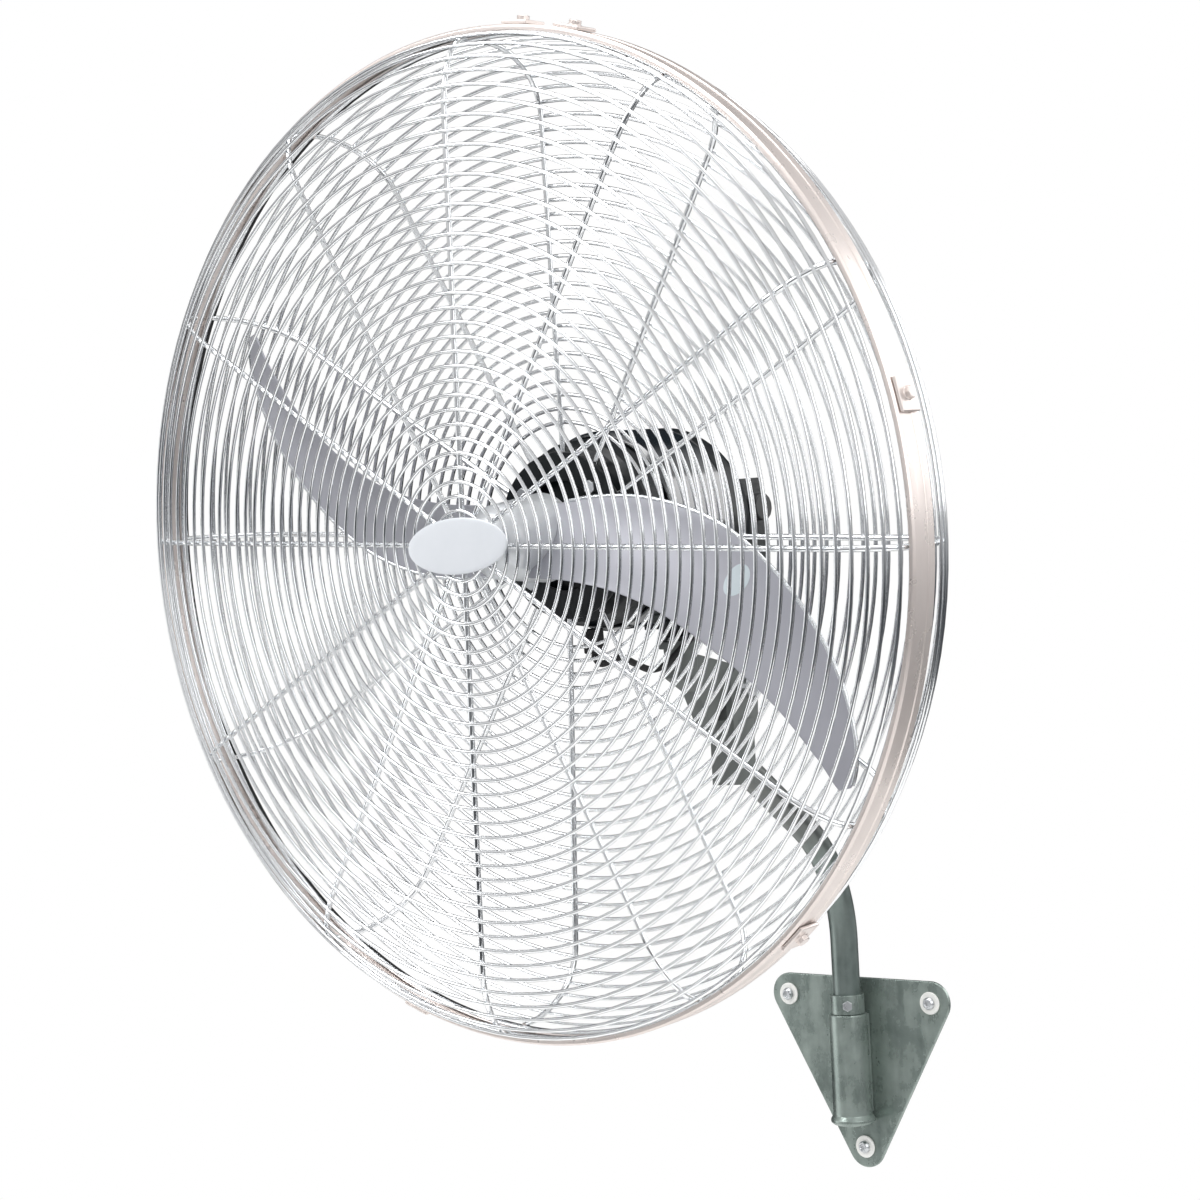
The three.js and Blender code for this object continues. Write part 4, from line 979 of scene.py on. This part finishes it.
    def build(self) -> None:
        """Build the guards, the band, the badge and the small pieces that hold them."""
        depth = self.front_depth
        self.guard("front_guard", -1, (self.rib_eye_r, depth), (self.front_knee_r, depth),
                   (self.front_eye_r, depth))
        slope = (self.rear_centre_depth - self.rear_depth) / (self.rear_knee_r - self.rear_ring_r)
        wire_depth = self.rear_centre_depth - (self.rear_eye_r - self.rear_ring_r) * slope
        self.guard("rear_guard", 1, (self.rear_ring_r, self.rear_centre_depth),
                   (self.rear_knee_r, self.rear_depth), (self.rear_eye_r, wire_depth))
        self.band()
        # The black ring at the rear lip is painted shade.
        self.painted_shade_ring()
        self.badge()
        for i in range(1, self.clips + 1):
            self.soften(f"rim_clip_{i}", BAND_STEEL, "rim_steel", 0.9)
        for i in range(1, self.clamp_screws + 1):
            self.soften(f"guard_screw_{i}", ZINC, "zinc_bright", 0.5)
        self.soften("guard_clamp_ring", MOTOR_ENAMEL, "motor_black", 0.8)


@dataclass
class Motor(Assembly):
    """Motor shells, gear case, lead and the hidden parts of the head. Sizes in millimetres."""

    body: str = "head"
    bell_r: float = 78.0
    housing_r: float = 85.0
    bore_r: float = 8.6
    wall: float = 5.0
    foot_r: float = 14.0
    foot_drop: float = 98.0
    foot_place: float = 222.0
    pin_r: float = 8.3
    rear_gland_r: float = 7.0
    gland_spot: Point = (21.0, 213.3)
    lead_r: float = 3.0
    cover_screw_r: float = 4.0
    cover_screw_inset: float = 8.0
    nose_r: float = 26.0
    front_shoulder: Point = (14.0, 15.0)
    rear_shoulder: Point = (12.0, 14.0)
    corner: float = 3.0
    screw_r: float = 4.2
    screw_circle_r: float = 66.0

    def front_bell(self) -> None:
        """Build the front shell: a flat nose, a rounded shoulder and a seam towards the housing."""
        first, last = node_span("motor_front_bell")
        r, bore, wall = self.bell_r, self.bore_r, self.wall
        nose, (wide, deep) = self.nose_r, self.front_shoulder
        outside = [(bore, first), (nose, first), (nose + 2, first + 2), (r - wide, first + 2.5),
                   (r - 4, first + 6), (r, first + deep), (r + 2, last)]
        inner = first + wall + 3
        inside = [(r - 4, last), (r - wall - 1, first + deep + 1), (nose + 4, inner), (bore, inner)]
        shell = revolve(rounded([*outside, *inside], self.corner, 4), 128)
        head = rounded(slab(0, self.screw_r, first - 1.8, first + 3), 1.0, closed=False)
        screw = moved(revolve(head, 24), at(self.screw_circle_r, 1.5, 0))
        screws = ring_tree().grow(screw, ZINC, Count=4)
        self.piece("motor_front_bell_shell", moved(shell, HEAD), MOTOR_ENAMEL, "motor_black",
                   "motor_front_bell")
        self.piece("motor_front_bell_screws", moved(screws, HEAD), ZINC, "zinc_bright")

    def housing(self) -> None:
        """Build the plain middle shell, drawn in a little at its front edge."""
        first, last = node_span("motor_housing")
        r, wall = self.housing_r, self.wall
        outside = [(r - 2.5, first), (r, first + 6), (r, last)]
        section = [(r - wall, first), *outside, (r - wall, last)]
        shell = revolve(rounded(section, 1.6, 3), 128)
        self.piece("motor_housing_shell", moved(shell, HEAD), HOUSING_ENAMEL, "motor_black", "motor_housing")

    def rear_bell(self) -> None:
        """Build the rear shell with the foot that turns on the swing pin."""
        first, last = node_span("motor_rear_bell")
        r, bore, wall = self.housing_r, self.bore_r, self.wall
        wide, deep = self.rear_shoulder
        outside = [(r, first), (r, last - deep), (r - 4, last - 4), (r - wide, last), (bore, last)]
        inner = last - wall
        inside = [(bore, inner), (r - wall - 10, inner), (r - wall, last - deep), (r - wall, first)]
        shell = revolve(rounded([*outside, *inside], self.corner, 4), 128)
        drop, top = self.foot_drop, r - 8
        pin, foot_r = self.pin_r, self.foot_r
        line = rounded([(pin, -drop), (foot_r, -drop), (foot_r + 1, -top), (pin, -top)], 1.2)
        foot = moved(revolve(line, 64), at(0, self.foot_place, 0) @ turn("X", 90))
        x, place = self.gland_spot
        line = rounded(slab(0, self.rear_gland_r, -r - 1, -r + 5), 0.8, closed=False)
        boss = moved(revolve(line, 48), at(x, place, 0) @ turn("X", 90))
        self.piece("motor_rear_bell_shell", moved(merged([shell, foot, boss]), HEAD), MOTOR_ENAMEL,
                   "motor_black", "motor_rear_bell")

    def cover_screws(self) -> None:
        """Put a domed screw at each corner of the gear case's cover."""
        low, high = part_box("gear_cover")
        depth, inset = node_span("gear_cover")[1], self.cover_screw_inset
        shape = rounded(slab(0, self.cover_screw_r, depth + 1.8, depth - 1), 1.2, closed=False)
        back = HEAD.inverted()
        heads = []
        for x in (low.x / MM + inset, high.x / MM - inset):
            for z in ((back @ low).z / MM + inset, (back @ high).z / MM - inset):
                heads.append(moved(revolve(shape, 24), at(x, 0, z)))
        self.piece("gear_cover_screws", moved(merged(heads), HEAD), ZINC, "zinc_bright")

    def lead(self) -> None:
        """Build the lead that loops under the motor, and the gland at each end of it."""
        line = [(0, 108, -101.3), (0, 108, -105), (0, 116, -111), (2, 138, -108), (4, 154, -115),
                (8, 169, -122), (13, 183, -120), (17, 194.3, -112.3), (19, 204.3, -105.3),
                (21, 213.3, -99.3), (21, 213.3, -93.6)]
        cord = rod(line, self.lead_r, RUBBER, 16, 2.5)
        self.piece("motor_lead_jacket", moved(cord, HEAD), RUBBER, "rubber_black", "motor_lead", angle=60)
        for node in ("lead_gland_front", "lead_gland_rear"):
            self.soften(node, RUBBER, "rubber_black", 1.2)

    def build(self) -> None:
        """Build the shells and dress what they hold."""
        self.front_bell()
        self.housing()
        self.rear_bell()
        self.soften("gear_case", MOTOR_ENAMEL, "motor_black", 2.5)
        self.soften("gear_cover", MOTOR_ENAMEL, "motor_black", 1.2)
        self.cover_screws()
        self.lead()
        self.dress(GROUND_STEEL, "bearing_front", "bearing_rear")
        self.dress(LAMINATIONS, "stator_core")
        self.dress(COPPER, "winding_front", "winding_rear")
        self.dress(DRAWN_CAN, "capacitor")


@dataclass
class Rotor(Assembly):
    """Hub, two swept blades and the shaft. Sizes in millimetres."""

    body: str = "rotor"
    nose: float = -14.0
    back: float = 60.0
    front_r: float = 31.0
    back_r: float = 37.0
    shaft_r: float = 8.3
    middle: float = 28.5
    thickness: float = 3.0
    root_width: float = 56.0
    full_width: float = 75.0
    tip_width: float = 9.0
    widest_at: float = 0.44
    root_pitch: float = 32.0
    tip_pitch: float = 14.0
    reach: float = 361.7
    bead_r: float = 1.7
    bead_run: Point = (0.07, 0.985)
    edge_power: int = 10
    seat_gap: float = 0.2
    label_half: Point = (9.5, 13.0)
    label_spot: Point = (0.5, 0.15)
    nose_depth: float = 20.0
    nose_power: float = 0.9
    hub_wall: float = 10.0
    camber: float = 0.09
    taper: float = 1.6
    mean: tuple[Point, ...] = ((0.061, -0.008), (0.194, -0.011), (0.346, -0.039), (0.492, -0.102),
                               (0.63, -0.21), (0.741, -0.343), (0.807, -0.476), (0.824, -0.567))

    def place(self, number: int) -> Matrix:
        """Give a blade's frame: the second stands opposite the first."""
        return HEAD @ turn("Y", 180 * (number - 1))

    def hub_line(self) -> list[Point]:
        """Give the hub's outer line from its nose to its back."""
        line, steps = [(0.0, self.nose)], 12
        for k in range(1, steps + 1):
            angle = math.pi / 2 * k / steps
            line.append((self.front_r * math.sin(angle) ** self.nose_power,
                         self.nose + self.nose_depth * (1 - math.cos(angle))))
        return line + [(self.back_r, self.back - 3), (self.back_r - 2, self.back)]

    def hub(self) -> None:
        """Build the spun hub."""
        bore, depth = self.shaft_r, self.nose + self.hub_wall
        section = [*self.hub_line(), (bore, self.back), (bore, depth), (0, depth)]
        self.piece("hub_spun", moved(revolve(section, 128), HEAD), HUB_ALLOY, "hub_alloy", "hub", angle=50)

    def mean_point(self, t: float) -> tuple[Vector, Vector]:
        """Give a point on the blade's mean line and the direction of the line there.

        Args:
            t: Share of the way along, from nought to one.

        Returns:
            The point and the unit direction, both in x and z.
        """
        last = len(self.mean) - 1
        place = min(t * last, last - NOTHING)
        i = int(place)
        u = place - i
        a, b, c, d = (self.reach * Vector(self.mean[min(max(k, 0), last)]) for k in range(i - 1, i + 3))
        first, second, third = c - a, 2 * a - 5 * b + 4 * c - d, 3 * b - a - 3 * c + d
        point = 0.5 * (2 * b + first * u + second * u ** 2 + third * u ** 3)
        slope = 0.5 * (first + 2 * second * u + 3 * third * u ** 2)
        return point, slope.normalized()

    def width(self, t: float) -> float:
        """Give the blade's breadth at a share of its length."""
        rise = math.sin(min(t / self.widest_at, 1) * math.pi / 2)
        swell = self.root_width + (self.full_width - self.root_width) * rise
        beyond = max(t - self.widest_at, 0) / (1 - self.widest_at)
        return swell + (self.tip_width - swell) * beyond ** self.taper

    def surface(self, t: float, place: float, face: float) -> Vector:
        """Give a point of the blade.

        Args:
            t: Share of the way from root to tip.
            place: Share across, from minus a half at the trailing edge to a half at the leading edge.
            face: Minus one in front to one behind, as a share of half the thickness.

        Returns:
            The point in the head's frame, in millimetres.
        """
        centre, along = self.mean_point(t)
        lead = Vector((-along.y, along.x))
        width = self.width(t)
        pitch = math.radians(self.root_pitch + (self.tip_pitch - self.root_pitch) * t)
        flat = centre + lead * (place * width)
        camber = self.camber * width * (1 - 4 * place * place)
        y = self.middle + place * width * math.tan(pitch) + camber + face * self.thickness / 2
        return Vector((flat.x, y, flat.y))

    def blade(self, number: int) -> None:
        """Build one blade, lofted through rounded sections and cut to the hub's flank."""
        across, stations = 22, 64
        rows = []
        for i in range(stations + 1):
            row = []
            for side in (1, -1):
                for k in range(across + 1):
                    u = -math.cos(math.pi * k / across) / 2 * side
                    edge = math.sqrt(max(1 - (abs(u) * 2) ** self.edge_power, 0.0))
                    row.append(self.surface(i / stations, u, side * edge) * MM)
            rows.append(row)
        seat = [(r + self.seat_gap if r else 0, y) for r, y in self.hub_line()] + [(0, self.back)]
        tool = stood("hub_seat", revolve(seat, 64))
        mesh = evaluated(lofted(rows, capped=True), "BOOLEAN", operation="DIFFERENCE", object=tool,
                         solver="EXACT")
        bpy.data.objects.remove(tool)
        self.piece(f"blade_{number}_pressed", moved(mesh, self.place(number)), BLADE_ALLOY, "blade_alloy",
                   f"blade_{number}", angle=50)

    def bead(self, number: int) -> None:
        """Roll a thin bead along the leading edge of a blade."""
        steps = 40
        first, last = self.bead_run
        line = [self.surface(first + (last - first) * i / steps, 0.5, 0) for i in range(steps + 1)]
        roll = rod(line, self.bead_r, BEAD_ALLOY, 12, 4)
        self.piece(f"blade_{number}_bead", moved(roll, self.place(number)), BEAD_ALLOY, "blade_alloy",
                   angle=60)

    def label(self) -> None:
        """Build the blank oval label film on the first blade's front, bent to the blade."""
        sides, step = 40, 0.01
        (along, across), (t, u) = self.label_half, self.label_spot
        per_t = (self.surface(t + step, u, -1) - self.surface(t - step, u, -1)).length / (2 * step)
        per_u = self.width(t)
        rows = []
        for share, lift in ((0.0, -0.3), (0.35, -0.3), (0.7, -0.3), (0.97, -0.3), (1.0, -0.2), (1.0, 0.6),
                            (0.0, 0.6)):
            row = []
            for i in range(sides if share else 1):
                angle = TAU * i / sides
                dt = along * share * math.cos(angle) / per_t
                du = across * share * math.sin(angle) / per_u
                row.append((self.surface(t + dt, u + du, -1) + Vector((0, lift, 0))) * MM)
            rows.append(row)
        self.piece("blade_label_blank", moved(lofted(rows), HEAD), FILM, "badge_grey")

    def build(self) -> None:
        """Build the hub, the blades and dress the shaft's parts."""
        self.hub()
        for number in (1, 2):
            self.blade(number)
            self.bead(number)
        self.label()
        self.dress(GROUND_STEEL, "rotor_shaft", "worm")
        self.dress(LAMINATIONS, "rotor_core")


@dataclass
class Bracket(Assembly):
    """Wall plate, socket, washers and bolts. Sizes in millimetres."""

    body: str = "wall_bracket"
    span: float = 162.0
    drop: float = 141.0
    corner: float = 20.0
    thickness: float = 4.0
    hole_r: float = 4.5
    washer_r: float = 10.5
    socket_r: float = 18.5
    foot_r: float = 21.0
    bore_r: float = 13.4
    axis_y: float = -22.8
    weld_r: float = 3.4
    weld_x: float = 9.5
    weld_step: float = 4.0
    weld_runs: Point = (0.35, 3.6)
    gap: float = 0.3
    edge: float = 0.9

    @property
    def holes(self) -> list[Point]:
        """Centres of the three holes."""
        return [(-self.span / 2, self.drop / 2), (self.span / 2, self.drop / 2), (0.0, -self.drop / 2)]

    def wall_plate(self) -> None:
        """Build the triangular plate: a round corner about each hole and soft edges."""
        outline: list[Point] = []
        order = self.holes[::-1]
        for i, (x, z) in enumerate(order):
            before, after = order[i - 1], order[(i + 1) % 3]
            start = math.atan2(z - before[1], x - before[0]) - math.pi / 2
            sweep = (math.atan2(after[1] - z, after[0] - x) - math.pi / 2 - start) % TAU
            for k in range(CORNER_STEPS + 1):
                angle = start + sweep * k / CORNER_STEPS
                outline.append((x + self.corner * math.cos(angle), z + self.corner * math.sin(angle)))
        mesh = plate(outline, self.thickness, self.edge, [(x, z, self.hole_r) for x, z in self.holes])
        self.piece("wall_plate_pressed", moved(mesh, at(0, -self.thickness, 0)), GALVANISED, "bracket_grey",
                   "wall_plate")

    def socket(self) -> None:
        """Build the socket tube with its rolled foot, and the two welds that hold it to the plate."""
        low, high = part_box("arm_socket")
        bottom, top = low.z / MM, high.z / MM
        r, foot, roll = self.socket_r, self.foot_r, 2.5
        outside = [(foot - roll, bottom), (foot, bottom + roll), (foot, bottom + 2 * roll), (r, bottom + 9),
                   (r, top)]
        tube = revolve(rounded([(self.bore_r, bottom), *outside, (self.bore_r, top)], 1.6, 4), 96)
        tube.transform(at(0, self.axis_y, 0) @ turn("X", 90))
        back = -self.thickness - self.gap
        self.piece("arm_socket_welded", shaved(tube, back), GALVANISED, "bracket_grey", "arm_socket")
        start, step = bottom + 10, self.weld_step
        count = int((top - 2 - start) / step) + 1
        for side in (-1, 1):
            line = [(side * self.weld_x, back - 3.2, start + step * i) for i in range(count)]
            bead = shaved(rod(line, self.weld_r, GALVANISED, 16, 1.6), back)
            self.piece(f"arm_socket_weld_{side + 2}", rippled(bead, *self.weld_runs), GALVANISED,
                       "bracket_grey")

    def fastenings(self) -> None:
        """Build a white washer and a bolt at each hole."""
        for i, (x, z) in enumerate(self.holes, 1):
            low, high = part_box(f"wall_washer_{i}")
            face, back = low.y / MM, high.y / MM
            washer = revolve(rounded(slab(self.hole_r, self.washer_r, face, back), 0.7, 4), 64)
            self.piece(f"wall_washer_{i}_nylon", moved(washer, at(x, 0, z)), NYLON, "washer_white",
                       f"wall_washer_{i}")
            self.bolt(i, x, z)

    def bolt(self, number: int, x: float, z: float) -> None:
        """Build a domed bolt with a flange under its head."""
        low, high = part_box(f"wall_bolt_{number}")
        face, back = low.y / MM, high.y / MM
        head, shank = 6.0, self.hole_r - 0.4
        line = [(0, face + 1.6), (2.6, face + 1.6), (3.4, face), (head - 1.6, face + 0.5),
                (head - 0.4, face + 2.2), (head, face + 3.2), (head, face + 4), (shank, face + 4),
                (shank, back), (0, back)]
        shape = revolve(rounded(line, 0.4, 3, closed=False), 48)
        self.piece(f"wall_bolt_{number}_domed", moved(shape, at(x, 0, z)), ZINC, "zinc_bright",
                   f"wall_bolt_{number}")

    def build(self) -> None:
        """Build the plate, the socket and what fastens them."""
        self.wall_plate()
        self.socket()
        self.fastenings()


@dataclass
class Arm(Assembly):
    """Bent tube, collar, clevis and tilt bolt. Sizes in millimetres."""

    body: str = "arm"
    tube_r: float = 13.0
    bend_r: float = 140.0
    rise_deg: float = 54.5
    corner_z: float = 200.0
    socket_y: float = -22.8
    low_z: float = -40.0
    pivot_y: float = -180.0
    seat_r: float = 20.3
    entry: float = 8.0
    bend_steps: int = 24

    def line(self) -> list[Spot]:
        """Give the tube's middle line from the socket to the clevis."""
        rise = math.radians(self.rise_deg)
        start_z = self.corner_z - self.bend_r * math.tan(rise / 2)
        points = [(0.0, self.socket_y, self.low_z)]
        for i in range(self.bend_steps + 1):
            angle = rise * i / self.bend_steps
            points.append((0.0, self.socket_y - self.bend_r * (1 - math.cos(angle)),
                           start_z + self.bend_r * math.sin(angle)))
        last = points[-1]
        reach = (last[1] - self.pivot_y - self.seat_r + self.entry) / math.sin(rise)
        points.append((0.0, last[1] - reach * math.sin(rise), last[2] + reach * math.cos(rise)))
        return points

    def build(self) -> None:
        """Build the tube and soften what is on it."""
        seed = points_mesh(self.line())
        tube = spoke_tree().grow(seed, ARM_COATING, Radius=self.tube_r * MM, Sides=48, Count=1)
        self.piece("arm_tube_bent", tube, ARM_COATING, "bracket_grey", "arm_tube", angle=60)
        self.soften("arm_collar", GALVANISED, "bracket_grey", 1.2)
        self.soften("arm_clevis", NECK_PAINT, "neck_grey", 2.0)
        self.soften("collar_screw", ZINC, "zinc_bright", 0.4)
        self.soften("tilt_bolt", ZINC, "zinc_bright", 0.6)


@dataclass
class SmallBody(Assembly):
    """A body of one or two pieces whose CAD shape only needs softer edges and a finish.

    Args:
        parts: Node name, finish, slot and edge width in millimetres for each piece.
    """

    parts: Sequence[tuple[str, Finish, str, float]] = ()

    def build(self) -> None:
        """Soften each piece."""
        for node, finish, slot, width in self.parts:
            self.soften(node, finish, slot, width)


# ------------------------------------------------------------------ studio
@dataclass
class Studio:
    """Camera at the photograph's place, soft light and a plain pale floor.

    Args:
        eye: Where the camera stands; all places are in metres.
        look: Direction in which it looks.
        up: Direction that is up in its picture.
        lens_mm: Focal length on a sensor of sensor_mm.
        floor_middle: Middle of the floor, which is floor_r in radius.
        fan_middle: Where the lights point.
        sky: Height, from nought below to one above, and colour of each stop of the sky.
        bright_side: Direction of the sky's bright side; away from it the sky goes over to dark.
        dusk: Where it starts and ends to go over, as the cosine of the angle to the bright side.
        lights: Name, place, side and power in watts of each lamp.
    """

    eye: Spot = (1.2735, -1.8317, 0.4052)
    look: Spot = (-0.6524, 0.7574, 0.026)
    up: Spot = (0.0544, 0.0126, 0.9984)
    lens_mm: float = 69.26
    sensor_mm: float = 36.0
    floor_middle: Spot = (0.0, -0.4, -0.75)
    floor_r: float = 2.1
    fan_middle: Spot = (0.0, -0.4, 0.45)
    sky: tuple[tuple[float, str], ...] = ((0.0, "#a9abae"), (0.26, "#77797c"), (0.36, "#3f4246"),
                                          (0.44, "#b9bbbe"), (0.53, "#fbfbfc"))
    sky_strength: float = 0.72
    bright_side: Spot = (0.65, -0.76, 0.0)
    dark: str = "#2b2e32"
    dusk: Point = (-0.72, -0.38)
    lights: tuple[tuple[str, Spot, float, float], ...] = (
        ("key", (-1.4, -2.6, 2.6), 1.6, 70.0), ("fill", (2.8, -1.2, 1.4), 2.2, 30.0),
        ("top", (0.2, -0.6, 3.2), 1.8, 45.0), ("window", (0.95, 1.55, 1.25), 1.3, 13.0),
        ("low", (-2.4, -1.5, 0.0), 1.5, 11.0))

    def camera(self) -> None:
        """Set the camera."""
        data = bpy.data.cameras.new("camera")
        data.lens, data.sensor_width, data.clip_end = self.lens_mm, self.sensor_mm, 50.0
        thing = stood("camera", data)
        back = -Vector(self.look).normalized()
        right = Vector(self.up).cross(back).normalized()
        thing.matrix_world = Matrix((right, back.cross(right), back)).transposed().to_4x4()
        thing.location = self.eye
        bpy.context.scene.camera = thing

    def floor(self) -> None:
        """Lay the floor."""
        mesh = revolve(slab(0, self.floor_r / MM, 0, 10), 96)
        mesh.transform(Matrix.Translation(self.floor_middle) @ turn("X", -90))
        mesh.materials.append(FLOOR.material())
        stood("floor", mesh)

    def world(self) -> None:
        """Surround the object with a pale studio that darkens behind the fan and low in front of it.

        Plated wire then reads white, with a thin dark line along its edges.
        """
        world = bpy.data.worlds.new("studio")
        bpy.context.scene.world = world
        world.use_nodes = True
        tree = world.node_tree
        tree.nodes.clear()
        way = add_node(tree, "ShaderNodeTexCoord").outputs["Generated"]
        parts = add_node(tree, "ShaderNodeSeparateXYZ", {"Vector": way})
        height = add_node(tree, "ShaderNodeMapRange", {
            "Value": parts.outputs["Z"], "From Min": -1.0, "From Max": 1.0,
        })
        ramp = add_node(tree, "ShaderNodeValToRGB", {"Fac": height})
        while len(ramp.color_ramp.elements) < len(self.sky):
            ramp.color_ramp.elements.new(0.5)
        for element, (place, colour) in zip(ramp.color_ramp.elements, self.sky):
            element.position, element.color = place, linear(colour)
        towards = add_node(tree, "ShaderNodeVectorMath", {0: way, 1: self.bright_side},
                           operation="DOT_PRODUCT")
        side = add_node(tree, "ShaderNodeMapRange", {
            "Value": towards, "From Min": self.dusk[0], "From Max": self.dusk[1],
        }, interpolation_type="SMOOTHSTEP")
        shaded = add_node(tree, "ShaderNodeMix", {"Factor": side, 6: linear(self.dark), 7: ramp},
                          data_type="RGBA")
        lit = add_node(tree, "ShaderNodeBackground", {"Color": shaded, "Strength": self.sky_strength})
        white = add_node(tree, "ShaderNodeBackground", {"Color": linear("#ffffff"), "Strength": 1.0})
        ray = add_node(tree, "ShaderNodeLightPath").outputs["Is Camera Ray"]
        mixed = add_node(tree, "ShaderNodeMixShader", {"Fac": ray, 1: lit, 2: white})
        add_node(tree, "ShaderNodeOutputWorld", {"Surface": mixed})

    def light(self, name: str, place: Spot, size: float, power: float) -> None:
        """Hang a soft square light that faces the fan."""
        data = bpy.data.lights.new(name, "AREA")
        data.energy, data.size = power, size
        thing = stood(name, data)
        thing.location = place
        thing.rotation_mode = "QUATERNION"
        thing.rotation_quaternion = (Vector(self.fan_middle) - Vector(place)).to_track_quat("-Z", "Y")

    def build(self) -> None:
        """Set the whole studio, with colours shown as they are mixed."""
        bpy.context.scene.view_settings.view_transform = "Standard"
        self.camera()
        self.floor()
        self.world()
        for light in self.lights:
            self.light(*light)


def main() -> None:
    """Build the studio and every assembly in order."""
    logging.basicConfig(level=logging.INFO, format="%(name)s: %(message)s")
    small = {
        "wing_nut": [("wing_nut", ZINC, "zinc_bright", 0.7)],
        "neck": [("neck", NECK_PAINT, "neck_grey", 2.0)],
        "swing_link": [("swing_link", GROUND_STEEL, "plain_steel", 0.4)],
        "swing_gear": [("crank", GROUND_STEEL, "plain_steel", 0.4), ("worm_wheel", BRASS, "gear_brass", 0.2)],
        "swing_knob": [("swing_knob", KNOB, "knob_black", 1.0)],
    }
    bodies = [SmallBody(body, parts) for body, parts in small.items()]
    for assembly in (Studio(), Bracket(), Arm(), *bodies[:3], Cage(), Motor(), Rotor(), *bodies[3:]):
        assembly.build()


if __name__ == "__main__":
    main()
